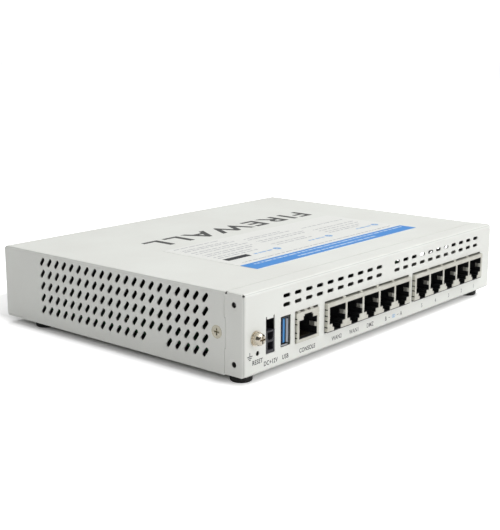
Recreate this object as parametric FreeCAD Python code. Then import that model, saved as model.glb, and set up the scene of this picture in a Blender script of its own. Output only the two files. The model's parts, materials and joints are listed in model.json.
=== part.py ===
import FreeCAD, Part
import math
import os

# Desktop network firewall: a two-piece sheet-metal case with the network ports on its rear panel.
# Millimetres. +Z is up, +Y points out of the rear panel, +X is the side with the reset and power end.
# Everything is drawn about the centre of the case's footprint, standing on its feet at z = 0.
# On export it moves half the ground screw's reach along -Y, so the origin is under the whole part's middle.

# ---------------------------------------------------------------- driving dimensions
# Round parts are given as (radius, height), slots as (length, width), cross recesses as (length, width,
# depth), and names ending in _X, _Y or _Z with two values as (low, high) limits.
# OVERLAP is how far shapes run into each other before joining, PAST how far a cutter runs past a face.
CASE_W = 216.0
CASE_D = 160.0
SHEET = 0.8
TOP_Z = 40.5
COVER_EDGE_Z = 4.0
FLOOR_Z = 4.4
BEND_R = 1.5
TIGHT_BEND_R = 0.6
GAP = 0.2
OVERLAP = 0.1
PAST = 1.0

HALF_W = CASE_W / 2
REAR_Y = CASE_D / 2
FRONT_Y = -CASE_D / 2
INNER_X = HALF_W - SHEET
INNER_REAR_Y = REAR_Y - SHEET
INNER_FRONT_Y = FRONT_Y + SHEET
INNER_TOP_Z = TOP_Z - SHEET
FLOOR_TOP_Z = FLOOR_Z + SHEET

# Where the cover stops and the chassis' rear end begins.
SIDE_SEAM_Y = 69.0
TOP_SEAM_Y = 69.4
LOCATING_TAB_Z = (15.7, 29.2)
LOCATING_TAB_REACH = 0.65
SEAM_STEP_Z = 39.2
LIP_FRONT_Y = 61.2
LIP_Z = (9.0, 36.5)
LIP_X = (HALF_W - 2 * SHEET - GAP, HALF_W - SHEET - GAP)

# Folded edges of the cover and chassis.
COVER_FLANGE_Y = -67.0
CHASSIS_FRONT_Y = -76.5
CHASSIS_JOGGLE_Y = -66.4
FRONT_UPSTAND_Z = 9.5
SIDE_FLANGE_Z = 9.0
SIDE_TAB_Y = (22.8, 34.0)
SIDE_TAB_Z = 13.6
SEAM_SLIT = 0.15
CORNER_RELIEF = 1.1
CORNER_RELIEF_REAR_Y = (78.7, 79.8)
CORNER_RELIEF_SEAM = 1.2
FRONT_LIP_BEND_R = 0.3

# Side vents: rows of leaning stadium slots, the same on both sides.
SIDE_SLOT = (5.0, 2.1)
SIDE_SLOT_LEAN = 36.0
SIDE_SLOT_COLUMNS = 21
SIDE_SLOT_ROWS = 5
SIDE_SLOT_FIRST_Y = -50.43
SIDE_SLOT_TOP_Z = 36.07
SIDE_SLOT_PITCH_Y = 5.431
SIDE_SLOT_PITCH_Z = 6.046
SIDE_SLOT_BLANKS = (14, 15)

# Rear vents: two rows of flat stadium slots on one grid, with one column left blank.
REAR_SLOT = (5.0, 1.8)
REAR_SLOT_COLUMNS = 22
REAR_SLOT_BLANK = 10
REAR_SLOT_FIRST_X = 79.4
REAR_SLOT_PITCH_X = 8.054
REAR_SLOT_Z = (35.16, 31.15)

# Fasteners of the case.
COVER_SCREW_Y = 64.8
COVER_SCREW_Z = 22.2
COVER_SCREW_HEAD_R = 2.95
M3_R = 1.5
M3_CLEARANCE_R = 1.6
M3_THREAD_R = 1.55
M3_TAPPED_R = 1.3
BRACKET_HOLE_Y = 74.33
BRACKET_HOLE_Z = (9.5, 35.4)
BRACKET_DIMPLE_R = 2.75
BRACKET_DIMPLE_DEPTH = 0.15
BRACKET_COLLAR = (2.1, 1.4)
COVER_SCREW_COLLAR_R = 2.5
TAP_DEPTH = 6.0
SCREW_LENGTH = 5.5
FLAT_HEAD_CROSS = (3.1, 0.75, 0.9)
SEAT_CLEARANCE = 0.05

# Feet.
FOOT_R = 5.3
FOOT_SIDE_INSET = 8.5
FOOT_REAR_INSET = 8.8
FOOT_FRONT_INSET = 19.8
FOOT_ROUND = 0.9
FOOT_TAPER = 0.35
FOOT_ROUND_STEPS = 6

# Main board.
BOARD_TOP_Z = 12.0
BOARD_T = 1.6
BOARD_HALF_W = 103.0
BOARD_Y = (-72.0, 77.8)
BOARD_SCREW_X = 94.0
BOARD_SCREW_Y = (-60.0, -4.0, 52.0)
STANDOFF_R = 3.0
BOARD_CORNER_R = 2.0
BOARD_HOLE_R = 1.7
BOARD_SCREW_HEAD = (2.8, 1.8)

# Ports. An opening is a list of steps as (half width, low z, high z), the wide part first. A shield can
# has grounding leafs inside each socket, bumps on top, and gaps between the fingers at its front corners.
PORT_PITCH = 13.97
PORTS_PER_BANK = 5
BANK_CENTRES_X = {1: 15.45, 2: -60.1}
BANK_W = 71.7
BANK_Z = (12.5, 25.8)
BANK_FRONT_Y = 81.6
BANK_BACK_Y = 63.8
BANK_OPENING = ((6.0, 16.06, 23.56), (3.75, 14.36, 16.06), (2.5, 12.35, 14.36))
BANK_LEAF = {"z": 19.3, "length": 3.2}
BANK_FINGER_GAPS_Z = (14.5, 17.5, 19.9, 22.8)
BANK_CLEARANCE = {"side": 0.2, "below": 0.85, "above": 0.85}
CONSOLE_X = 65.05
CONSOLE_W = 16.3
CONSOLE_Z = (12.1, 25.7)
CONSOLE_FRONT_Y = 81.0
CONSOLE_BACK_Y = 65.0
CONSOLE_OPENING = ((6.3, 13.8, 21.8), (3.25, 21.8, 23.4), (2.5, 23.4, 24.2))
CONSOLE_LEAF = {"z": 18.0, "length": 3.9}
CONSOLE_FINGER_GAPS_Z = (14.3, 16.7, 20.6, 23.0)
CONSOLE_CLEARANCE = {"side": 0.3, "below": 0.3, "above": 0.85}
CONSOLE_BUMPS_X = (5.6, 0.6, -3.8)
SHIELD_T = 0.25
SHIELD_MARGIN = 0.3
INSERT_MARGIN = 0.05
SOCKET_DEPTH = 12.6
LEAF_W = 2.0
LEAF_T = 0.2
LEAF_INNER_X = 5.9
LEAF_SLANT = 1.0
LEAF_POCKET_SIDE = 0.2
LEAF_POCKET_ABOVE = 0.15
LEAF_POCKET_BEHIND = 0.5
FINGER_GAP_H = 0.65
FINGER_GAP_DEPTH = 2.4
FINGER_GAP_WRAP = 0.27
FINGER_BUMP_W = 2.2
FINGER_BUMP_H = 0.75
FINGER_BUMP_Y = (-3.2, -0.7)
FINGER_BUMP_PEAK_Y = 79.7
CONTACT_PITCH = 1.02
CONTACT_COUNT = 8
CONTACT_W = 0.4
CONTACT_T = 0.3
CONTACT_MOUTH = 2.0
CONTACT_BEND = 1.5
CONTACT_LEG = 2.6
BANK_WIRE_DROP = (0.1, 1.35)
CONSOLE_WIRE_RISE = (0.1, 1.1)

# USB socket, standing on its narrow side. Its contacts are given as (height, thickness), and their ends
# along Y as distances from the shell's back and from the tongue's front.
USB_X = (78.0, 83.45)
USB_Z = (12.6, 25.65)
USB_FRONT_Y = 79.95
USB_BACK_Y = 66.4
USB_WALL = 0.3
USB_CORNER_R = 0.6
USB_CUTOUT_X = (76.5, 83.6)
USB_CUTOUT_Z = (12.45, 26.2)
USB_CUTOUT_R = 0.5
USB_BLOCK_Y = 3.0
USB_BLOCK_FIT = 0.02
TONGUE_X = (79.35, 81.2)
TONGUE_Z = (13.75, 24.75)
TONGUE_FRONT_Y = 79.0
TONGUE_CHAMFER = 0.25
USB_CONTACTS_Z = (15.85, 18.35, 20.35, 22.85)
USB_CONTACT = (1.0, 0.2)
USB_CONTACT_SINK = 0.05
USB_CONTACT_Y = (4.0, -1.6)
USB_INNER_CONTACTS = 5
USB_INNER_CONTACT = (0.6, 0.12)
USB_INNER_CONTACT_Y = (-1.3, -0.5)

# Two-way power inlet with a latch recess above it.
INLET_X = (87.75, 93.55)
INLET_Z = (12.0, 21.9)
INLET_FRONT_Y = 80.0
INLET_BACK_Y = 67.0
INLET_CAVITY_X = (88.75, 92.5)
INLET_LOWER_Z = (13.3, 16.8)
INLET_UPPER_Z = (17.6, 21.2)
INLET_CAVITY_DEPTH = 9.5
INLET_CHAMFER = 1.0
INLET_CUTOUT_SIDE = 0.1
INLET_CUTOUT_BELOW = 0.25
INLET_RAMP_Y = (-7.5, -7.0, -4.0)
INLET_RAMP_H = 1.5
INLET_RAMP_W = 2.4
INLET_PIN_R = 0.55
INLET_PIN_NOSE = 2.2
INLET_LEG_Y = (-1.5, -4.0)
LATCH_RECESS_TOP_Z = 27.1
LATCH_HORN_Z = 28.3
LATCH_HORN_W = 0.9
LATCH_LIP_DEPTH = 2.0
LATCH_LIP_RISE = 0.9

# Earth terminal.
GROUND_X = 100.4
GROUND_Z = 20.5
GROUND_WASHER = (3.4, 0.5)
GROUND_LOCK_WASHER = (2.95, 0.8)
GROUND_HEAD = (2.8, 2.6)
GROUND_SHANK_END_Y = 73.0
GROUND_NUT = (2.9, 2.6)
LOCK_WASHER_SPLIT = 0.5
PAN_HEAD = ((1.0, 0.35), (0.93, 0.65), (0.8, 0.88), (0.62, 1.0))
PAN_CROSS = (1.2, 0.26, 0.6)
GROUND_REACH = GROUND_WASHER[1] + GROUND_LOCK_WASHER[1] + GROUND_HEAD[1]

# Reset switch behind its pinhole.
RESET_X = 99.1
RESET_Z = 13.6
RESET_HOLE_R = 1.1
RESET_BODY_W = 6.0
RESET_BODY_Y = (71.8, 76.4)
RESET_BODY_TOP_Z = 15.6
PLUNGER_R = 0.9
PLUNGER_BORE_R = 0.96
PLUNGER_Y = (73.4, 78.2)
PLUNGER_BORE_FLOOR = 0.9
PLUNGER_ROUND = 0.25

# Status lights along the front edge of the board.
LIGHT_COUNT = 13
LIGHT_FIRST_X = -80.0
LIGHT_PITCH = 7.0
LIGHT_Z = 14.2
LIGHT_R = 1.0
LIGHT_WINDOW_R = 1.1
LIGHT_BODY_W = 1.6
LIGHT_BODY_Y = (-72.0, -70.8)
LIGHT_BODY_TOP_Z = 14.9
PIPE_BAR_Y = (-75.4, -73.0)
PIPE_BAR_Z = (12.6, 16.2)
PIPE_BAR_END = 2.5
PIPE_START_Y = -79.98
PIPE_ARM_W = 1.4
PIPE_ARM_Y = (-75.0, -71.0)
PIPE_ARM_Z = (12.6, 14.0)
PIPE_FOOT_Y = (-72.0, -71.0)
PIPE_FOOT_H = 1.0

# Labels.
LABEL_T = 0.1
TOP_LABEL_X = (-71.0, 67.0)
TOP_LABEL_Y = (-8.0, 53.5)
BOTTOM_LABEL_X = (-45.0, 45.0)
BOTTOM_LABEL_Y = (-35.0, 15.0)
TOP_LABEL_R = 1.0
BOTTOM_LABEL_R = 2.0

# Processor and its heat sink.
CPU_CENTRE = (-12.0, 4.0)
CPU_SIZE = (27.0, 27.0, 2.0)
CPU_SUBSTRATE_T = 0.9
CPU_LID_INSET = 3.0
PAD_SIZE = (24.0, 24.0, 0.6)
SINK_SIZE = (62.0, 56.0)
SINK_BASE_T = 3.0
SINK_TOP_Z = 33.0
SINK_FINS = 14
SINK_FIN_T = 1.2
SINK_PIN_OFFSET = (27.0, -24.0)
SINK_PIN_ROOM = 8.0
SINK_PIN_R = 1.45
SINK_PIN_HOLE_R = 1.6
SINK_PIN_BORE_R = 1.7
SINK_PIN_HEAD = (3.2, 2.2)
SINK_PIN_BARB = (1.2, 2.1, 1.4)

# Other parts on the board: where they stand, and their sizes as (x, y, height).
CHIP_CHAMFER = 0.2
MEMORY_X = (-56.0,)
MEMORY_Y = (22.0, 8.0, -6.0, -20.0)
MEMORY_SIZE = (13.0, 9.0, 1.1)
FLASH_CENTRE = (40.0, -30.0)
FLASH_SIZE = (18.0, 12.0, 1.1)
NETWORK_CENTRES = ((-50.0, 35.0), (20.0, 37.0))
NETWORK_SIZE = (14.0, 12.0, 1.2)
INDUCTOR_X = (76.0, 88.0)
INDUCTOR_Y = (30.0, 18.0)
INDUCTOR_SIZE = (7.2, 7.2, 4.2)
CAPACITOR_X = (62.0, 52.0)
CAPACITOR_Y = (36.0, 24.0)
CAPACITOR_SEAT = (8.3, 8.3, 1.0)
CAPACITOR_CAN = (4.0, 9.2)
CAPACITOR_ROUND = 0.5
TRANSFORMER_X = (43.0, 22.0, 1.0, -32.0, -53.0, -74.0)
TRANSFORMER_Y = (50.0,)
TRANSFORMER_SIZE = (15.0, 9.5, 5.6)
CELL_CENTRE = FreeCAD.Vector(70.0, -40.0, BOARD_TOP_Z)
CELL = (10.0, 3.2)
CELL_CUP = (12.0, 4.4)
CELL_CUP_BORE_R = 10.1
CELL_CUP_FLOOR = 1.0
CELL_NOTCH_W = 8.0

ORIGIN_SHIFT = FreeCAD.Vector(0, -GROUND_REACH / 2, 0)
X_AXIS = FreeCAD.Vector(1, 0, 0)
Y_AXIS = FreeCAD.Vector(0, 1, 0)
Z_AXIS = FreeCAD.Vector(0, 0, 1)
PLANES = {
    "xy": lambda u, v, w: FreeCAD.Vector(u, v, w),
    "xz": lambda u, v, w: FreeCAD.Vector(u, w, v),
    "yz": lambda u, v, w: FreeCAD.Vector(w, u, v),
}


# ---------------------------------------------------------------- shape helpers
def box(x_span, y_span, z_span):
    """Box between pairs of limits."""
    corner = FreeCAD.Vector(x_span[0], y_span[0], z_span[0])
    return Part.makeBox(x_span[1] - x_span[0], y_span[1] - y_span[0], z_span[1] - z_span[0], corner)


def block(centre, size, z):
    """Box of a given size standing at height z on the board, centred at (x, y)."""
    half_x = size[0] / 2
    half_y = size[1] / 2
    x_span = (centre[0] - half_x, centre[0] + half_x)
    y_span = (centre[1] - half_y, centre[1] + half_y)
    return box(x_span, y_span, (z, z + size[2]))


def rod(radius, start, axis, length):
    """Cylinder from a start point along an axis."""
    return Part.makeCylinder(radius, length, start, axis)


def tube(outer_r, inner_r, start, axis, length):
    """Ring with a round bore."""
    return rod(outer_r, start, axis, length).cut(rod(inner_r, start, axis, length))


def rounded_wire(points, radii, place):
    """Closed wire through 2-D points, with each corner rounded to its own radius."""
    entries = []
    for index, corner in enumerate(points):
        here = FreeCAD.Vector(corner[0], corner[1], 0)
        before = FreeCAD.Vector(*points[index - 1], 0) - here
        after = FreeCAD.Vector(*points[(index + 1) % len(points)], 0) - here
        before.normalize()
        after.normalize()
        radius = radii[index]
        if radius == 0:
            entries.append((here, None, here))
            continue
        half_turn = before.getAngle(after) / 2
        reach = radius / math.tan(half_turn)
        inward = (before + after).normalize()
        middle = here + inward * (radius / math.sin(half_turn) - radius)
        entries.append((here + before * reach, middle, here + after * reach))
    edges = []
    for index, (start, middle, end) in enumerate(entries):
        if middle is not None:
            arc = Part.Arc(*(place(p.x, p.y) for p in (start, middle, end)))
            edges.append(arc.toShape())
        following = entries[(index + 1) % len(entries)][0]
        if (following - end).Length > 1e-6:
            edges.append(Part.makeLine(place(end.x, end.y), place(following.x, following.y)))
    return Part.Wire(edges)


def prism(plane, points, w_span, radii=None):
    """Solid with a given outline in the named plane, between two limits along the third axis."""
    corner_radii = radii if radii else [0] * len(points)
    to_space = PLANES[plane]
    wire = rounded_wire(points, corner_radii, lambda u, v: to_space(u, v, w_span[0]))
    return Part.Face(wire).extrude(to_space(0, 0, w_span[1] - w_span[0]))


def rectangle(u_span, v_span):
    """Corner points of a rectangle, in order."""
    return [(u_span[0], v_span[0]), (u_span[1], v_span[0]), (u_span[1], v_span[1]), (u_span[0], v_span[1])]


def stadium(plane, size, w_span):
    """Slot cutter centred at the origin of the plane, with its length along the first axis."""
    half_length = size[0] / 2
    half_width = size[1] / 2
    points = rectangle((-half_length, half_length), (-half_width, half_width))
    return prism(plane, points, w_span, [half_width] * 4)


def lathe(profile, centre, axis):
    """Solid of revolution from (radius, height) points, standing on centre along axis."""
    points = [FreeCAD.Vector(radius, 0, height) for radius, height in profile]
    face = Part.Face(Part.makePolygon(points + points[:1]))
    solid = face.revolve(FreeCAD.Vector(0, 0, 0), Z_AXIS, 360)
    solid.Placement = FreeCAD.Placement(centre, FreeCAD.Rotation(Z_AXIS, axis))
    return solid


def cross_recess(centre, axis, length, width, depth):
    """Cutter for a cross-head recess that sinks from centre against axis."""
    bar = Part.makeBox(length, width, depth, FreeCAD.Vector(-length / 2, -width / 2, -depth))
    other = Part.makeBox(width, length, depth, FreeCAD.Vector(-width / 2, -length / 2, -depth))
    cutter = bar.fuse(other)
    cutter.Placement = FreeCAD.Placement(centre, FreeCAD.Rotation(Z_AXIS, axis))
    return cutter


def moved(shape, x=0, y=0, z=0):
    """Copy of a shape, moved."""
    copy = shape.copy()
    copy.translate(FreeCAD.Vector(x, y, z))
    return copy


def fused(shapes):
    """One clean solid from touching shapes."""
    return shapes[0].multiFuse(shapes[1:]).removeSplitter()


def group(shapes):
    """Separate solids that share one node."""
    return Part.makeCompound(shapes)


def mirrored_x(shape):
    """The same shape on the other side of the case."""
    return shape.mirror(FreeCAD.Vector(0, 0, 0), X_AXIS)


# ---------------------------------------------------------------- sheet-metal case
def side_slot_cutters():
    """All leaning vent slots of the +X side."""
    cutter = stadium("yz", SIDE_SLOT, (INNER_X - PAST, HALF_W + PAST))
    cutter.rotate(FreeCAD.Vector(0, 0, 0), X_AXIS, 90 - SIDE_SLOT_LEAN)
    cutters = []
    for row in range(SIDE_SLOT_ROWS):
        for column in range(SIDE_SLOT_COLUMNS):
            if row == SIDE_SLOT_ROWS - 1 and column in SIDE_SLOT_BLANKS:
                continue
            y = SIDE_SLOT_FIRST_Y + column * SIDE_SLOT_PITCH_Y
            cutters.append(moved(cutter, y=y, z=SIDE_SLOT_TOP_Z - row * SIDE_SLOT_PITCH_Z))
    return cutters


def cover_outer():
    """Block with the cover's outer faces and bends."""
    across = prism("xz", rectangle((-HALF_W, HALF_W), (COVER_EDGE_Z, TOP_Z)),
                   (FRONT_Y, TOP_SEAM_Y), [0, 0, BEND_R, BEND_R])
    along = prism("yz", rectangle((FRONT_Y, TOP_SEAM_Y), (COVER_EDGE_Z, TOP_Z)),
                  (-HALF_W, HALF_W), [BEND_R, 0, 0, BEND_R])
    return across.common(along)


def cover_void():
    """Space inside the cover, open at the rear and below, behind the front flange."""
    beyond = REAR_Y + PAST
    below = COVER_EDGE_Z - PAST
    across = prism("xz", rectangle((-INNER_X, INNER_X), (below, INNER_TOP_Z)),
                   (INNER_FRONT_Y, beyond), [0, 0, TIGHT_BEND_R, TIGHT_BEND_R])
    outline = [(INNER_FRONT_Y, COVER_EDGE_Z + SHEET), (COVER_FLANGE_Y, COVER_EDGE_Z + SHEET),
               (COVER_FLANGE_Y, below), (beyond, below), (beyond, INNER_TOP_Z), (INNER_FRONT_Y, INNER_TOP_Z)]
    along = prism("yz", outline, (-INNER_X, INNER_X), [TIGHT_BEND_R, 0, 0, 0, 0, TIGHT_BEND_R])
    return across.common(along)


def cover_seam_cutters():
    """Open corner between front and side, and the seam above the front flange, on the +X side."""
    corner = box((INNER_X - SEAM_SLIT, INNER_X), (FRONT_Y - PAST, INNER_FRONT_Y + OVERLAP),
                 (COVER_EDGE_Z + SHEET, TOP_Z - BEND_R - TIGHT_BEND_R))
    flange_z = (COVER_EDGE_Z + SHEET, COVER_EDGE_Z + SHEET + SEAM_SLIT)
    flange = box((INNER_X - OVERLAP, HALF_W + PAST), (FRONT_Y - PAST, COVER_FLANGE_Y), flange_z)
    return [corner, flange]


def cover_screw_seat():
    """Countersink and bore for the +X cover screw."""
    start = FreeCAD.Vector(INNER_X - OVERLAP, COVER_SCREW_Y, COVER_SCREW_Z)
    seat_r = COVER_SCREW_HEAD_R + SEAT_CLEARANCE
    cone_start = FreeCAD.Vector(INNER_X, COVER_SCREW_Y, COVER_SCREW_Z)
    seat = Part.makeCone(seat_r - SHEET, seat_r, SHEET, cone_start, X_AXIS)
    return [seat, rod(M3_CLEARANCE_R, start, X_AXIS, SHEET)]


def side_edge_cutter():
    """Trims the +X side back to its seam, leaving the locating tab."""
    tab_end = SIDE_SEAM_Y + LOCATING_TAB_REACH
    below = COVER_EDGE_Z - PAST
    points = [(SIDE_SEAM_Y, below), (REAR_Y, below), (REAR_Y, SEAM_STEP_Z),
              (SIDE_SEAM_Y, SEAM_STEP_Z), (SIDE_SEAM_Y, LOCATING_TAB_Z[1]), (tab_end, LOCATING_TAB_Z[1]),
              (tab_end, LOCATING_TAB_Z[0]), (SIDE_SEAM_Y, LOCATING_TAB_Z[0])]
    return prism("yz", points, (INNER_X - PAST, HALF_W + PAST))


def locating_tab():
    """Tongue on the cover's +X rear edge that drops into the chassis' side tab."""
    y_span = (SIDE_SEAM_Y - SHEET, SIDE_SEAM_Y + LOCATING_TAB_REACH)
    return box((INNER_X, HALF_W), y_span, LOCATING_TAB_Z)


def light_positions():
    """X of each status light."""
    return [LIGHT_FIRST_X + index * LIGHT_PITCH for index in range(LIGHT_COUNT)]


def top_cover():
    """Top, front, both vented sides and the front's bottom flange, folded from one sheet."""
    shell = cover_outer().cut(cover_void())
    shell = fused([shell, locating_tab(), mirrored_x(locating_tab())])
    right = side_slot_cutters() + cover_seam_cutters() + cover_screw_seat() + [side_edge_cutter()]
    left = [mirrored_x(cutter) for cutter in right]
    windows = [rod(LIGHT_WINDOW_R, FreeCAD.Vector(x, FRONT_Y - PAST, LIGHT_Z), Y_AXIS, SHEET + 2 * PAST)
               for x in light_positions()]
    return shell.cut(right + left + windows)


def chassis_tray():
    """Floor with upturned side flanges and the stepped front lip that the cover's flange slides under."""
    inner = HALF_W - SHEET - GAP - SHEET
    outer = HALF_W - SHEET - GAP
    section = [(-outer, SIDE_FLANGE_Z), (-outer, FLOOR_Z), (outer, FLOOR_Z), (outer, SIDE_FLANGE_Z),
               (inner, SIDE_FLANGE_Z), (inner, FLOOR_TOP_Z), (-inner, FLOOR_TOP_Z), (-inner, SIDE_FLANGE_Z)]
    bends = [0, BEND_R, BEND_R, 0, 0, TIGHT_BEND_R, TIGHT_BEND_R, 0]
    tray = prism("xz", section, (CHASSIS_JOGGLE_Y, INNER_REAR_Y), bends)
    lip_z = COVER_EDGE_Z + SHEET + SEAM_SLIT
    step_y = CHASSIS_JOGGLE_Y + SHEET
    front = [(CHASSIS_JOGGLE_Y, FLOOR_Z), (step_y, FLOOR_Z), (step_y, lip_z + SHEET),
             (CHASSIS_FRONT_Y + SHEET, lip_z + SHEET), (CHASSIS_FRONT_Y + SHEET, FRONT_UPSTAND_Z),
             (CHASSIS_FRONT_Y, FRONT_UPSTAND_Z), (CHASSIS_FRONT_Y, lip_z), (CHASSIS_JOGGLE_Y, lip_z)]
    front_bends = [0, 0, FRONT_LIP_BEND_R, FRONT_LIP_BEND_R, 0, 0, TIGHT_BEND_R, 0]
    return [tray, prism("yz", front, (TIGHT_BEND_R - inner, inner - TIGHT_BEND_R), front_bends)]


def chassis_rear_end():
    """Rear panel with its top flange and the tabs that wrap round both rear corners."""
    seam_y = SIDE_SEAM_Y + GAP
    plan = prism("xy", rectangle((-HALF_W, HALF_W), (seam_y, REAR_Y)),
                 (FLOOR_Z, TOP_Z), [0, 0, BEND_R, BEND_R])
    side = prism("yz", rectangle((seam_y, REAR_Y), (FLOOR_Z, TOP_Z)),
                 (-HALF_W, HALF_W), [0, BEND_R, BEND_R, 0])
    before = seam_y - PAST
    void_plan = prism("xy", rectangle((-INNER_X, INNER_X), (before, INNER_REAR_Y)),
                      (FLOOR_TOP_Z, INNER_TOP_Z), [0, 0, TIGHT_BEND_R, TIGHT_BEND_R])
    void_side = prism("yz", rectangle((before, INNER_REAR_Y), (FLOOR_TOP_Z, INNER_TOP_Z)),
                      (-INNER_X, INNER_X), [0, TIGHT_BEND_R, TIGHT_BEND_R, 0])
    top_trim = box((-HALF_W - PAST, HALF_W + PAST), (before, TOP_SEAM_Y + GAP), (SEAM_STEP_Z, TOP_Z + PAST))
    return plan.common(side).cut(void_plan.common(void_side)).cut(top_trim)


def chassis_lips():
    """Stepped lips that tuck under the cover's sides and top."""
    seam_y = SIDE_SEAM_Y + GAP + LOCATING_TAB_REACH + GAP
    web_y = seam_y + SHEET
    web_x = INNER_X + OVERLAP
    side = [(LIP_X[0], LIP_FRONT_Y), (LIP_X[1], LIP_FRONT_Y), (LIP_X[1], seam_y), (web_x, seam_y),
            (web_x, web_y), (LIP_X[0], web_y)]
    side_lip = prism("xy", side, LIP_Z)
    lip_z = INNER_TOP_Z - GAP
    top_web_y = TOP_SEAM_Y + GAP + SHEET
    web_z = INNER_TOP_Z + OVERLAP
    top = [(LIP_FRONT_Y, lip_z - SHEET), (top_web_y, lip_z - SHEET), (top_web_y, web_z),
           (TOP_SEAM_Y + GAP, web_z), (TOP_SEAM_Y + GAP, lip_z), (LIP_FRONT_Y, lip_z)]
    top_half_w = LIP_X[0] - 2 * BEND_R
    top_lip = prism("yz", top, (-top_half_w, top_half_w))
    low_z = FLOOR_TOP_Z + SHEET
    tab = box(LIP_X, SIDE_TAB_Y, (low_z, SIDE_TAB_Z))
    joint = box(LIP_X, (LIP_FRONT_Y, web_y), (low_z, LIP_Z[0]))
    return [side_lip, mirrored_x(side_lip), top_lip, tab, mirrored_x(tab), joint, mirrored_x(joint)]


def chassis_collars():
    """Burred collars behind the tapped holes of one side."""
    inward = X_AXIS.negative()
    radius, length = BRACKET_COLLAR
    collars = [rod(radius, FreeCAD.Vector(INNER_X + OVERLAP, BRACKET_HOLE_Y, z), inward, length)
               for z in BRACKET_HOLE_Z]
    start = FreeCAD.Vector(LIP_X[0] + OVERLAP, COVER_SCREW_Y, COVER_SCREW_Z)
    return collars + [rod(COVER_SCREW_COLLAR_R, start, inward, length)]


def chassis_side_cutters():
    """Holes, corner reliefs and the locating notch of the +X side."""
    inward = X_AXIS.negative()
    cutters = [rod(M3_THREAD_R, FreeCAD.Vector(HALF_W, COVER_SCREW_Y, COVER_SCREW_Z), inward, TAP_DEPTH)]
    for z in BRACKET_HOLE_Z:
        cutters.append(rod(M3_TAPPED_R, FreeCAD.Vector(HALF_W + PAST, BRACKET_HOLE_Y, z), inward, TAP_DEPTH))
        rim = FreeCAD.Vector(HALF_W - BRACKET_DIMPLE_DEPTH, BRACKET_HOLE_Y, z)
        cutters.append(Part.makeCone(M3_TAPPED_R, BRACKET_DIMPLE_R, BRACKET_DIMPLE_DEPTH, rim, X_AXIS))
    notch_y = (SIDE_SEAM_Y, SIDE_SEAM_Y + LOCATING_TAB_REACH + GAP)
    notch_z = (LOCATING_TAB_Z[0] - GAP, LOCATING_TAB_Z[1] + GAP)
    cutters.append(box((INNER_X, HALF_W + PAST), notch_y, notch_z))
    relief_x = (HALF_W - CORNER_RELIEF, HALF_W + PAST)
    relief_z = (TOP_Z - CORNER_RELIEF, TOP_Z + PAST)
    cutters.append(box(relief_x, CORNER_RELIEF_REAR_Y, relief_z))
    cutters.append(box(relief_x, (SIDE_SEAM_Y, TOP_SEAM_Y + GAP + CORNER_RELIEF_SEAM), relief_z))
    slit_x = (INNER_X - SEAM_SLIT, INNER_X)
    cutters.append(box(slit_x, (TOP_SEAM_Y, CORNER_RELIEF_REAR_Y[0]), (INNER_TOP_Z - OVERLAP, TOP_Z + PAST)))
    return cutters


def shield_cutout(x_span, z_span, clearance, through):
    """Cutout for a shielded socket, with its own clearance beside, below and above."""
    wide = (x_span[0] - clearance["side"], x_span[1] + clearance["side"])
    return box(wide, through, (z_span[0] - clearance["below"], z_span[1] + clearance["above"]))


def rear_panel_cutters():
    """Vents, connector cutouts and round holes of the rear panel."""
    through = (INNER_REAR_Y - OVERLAP, REAR_Y + PAST)
    slot = stadium("xz", REAR_SLOT, through)
    cutters = []
    for column in range(REAR_SLOT_COLUMNS):
        if column == REAR_SLOT_BLANK:
            continue
        x = REAR_SLOT_FIRST_X - column * REAR_SLOT_PITCH_X
        cutters += [moved(slot, x=x, z=z) for z in REAR_SLOT_Z]
    cutters += [shield_cutout(bank_span_x(bank), BANK_Z, BANK_CLEARANCE, through) for bank in BANK_CENTRES_X]
    cutters.append(shield_cutout(console_span_x(), CONSOLE_Z, CONSOLE_CLEARANCE, through))
    cutters.append(prism("xz", rectangle(USB_CUTOUT_X, USB_CUTOUT_Z), through, [USB_CUTOUT_R] * 4))
    cutters.append(inlet_cutout(through))
    for x, z, radius in ((GROUND_X, GROUND_Z, M3_CLEARANCE_R), (RESET_X, RESET_Z, RESET_HOLE_R)):
        cutters.append(rod(radius, FreeCAD.Vector(x, through[0], z), Y_AXIS, through[1] - through[0]))
    return cutters


def inlet_cutout(through):
    """Power inlet's cutout: it takes in the latch recess and a relief horn at each top corner."""
    left = INLET_X[0] - INLET_CUTOUT_SIDE
    right = INLET_X[1] + INLET_CUTOUT_SIDE
    low = INLET_Z[0] - INLET_CUTOUT_BELOW
    points = [(left, low), (right, low), (right, LATCH_HORN_Z),
              (right - LATCH_HORN_W, LATCH_HORN_Z), (right - LATCH_HORN_W, LATCH_RECESS_TOP_Z),
              (left + LATCH_HORN_W, LATCH_RECESS_TOP_Z), (left + LATCH_HORN_W, LATCH_HORN_Z),
              (left, LATCH_HORN_Z)]
    return prism("xz", points, through)


def latch_lip():
    """Strip between the relief horns, bent inwards to guide the plug's latch."""
    inset = LATCH_HORN_W - INLET_CUTOUT_SIDE
    root_y = INNER_REAR_Y + SHEET / 2
    tip_y = INNER_REAR_Y - LATCH_LIP_DEPTH
    low = LATCH_RECESS_TOP_Z
    points = [(root_y, low), (root_y, low + SHEET), (tip_y, low + SHEET + LATCH_LIP_RISE),
              (tip_y, low + LATCH_LIP_RISE)]
    return prism("yz", points, (INLET_X[0] + inset, INLET_X[1] - inset))


def board_screw_positions():
    """Centres of the board's six fixing points."""
    return [(side * BOARD_SCREW_X, y) for y in BOARD_SCREW_Y for side in (-1, 1)]


def base_chassis():
    """Floor, rear panel, flanges and lips, folded from one sheet."""
    solids = chassis_tray() + [chassis_rear_end()] + chassis_lips() + [latch_lip()]
    collars = chassis_collars()
    solids += collars + [mirrored_x(collar) for collar in collars]
    right = chassis_side_cutters()
    left = [mirrored_x(cutter) for cutter in right]
    return fused(solids).cut(right + left + rear_panel_cutters())


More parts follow.
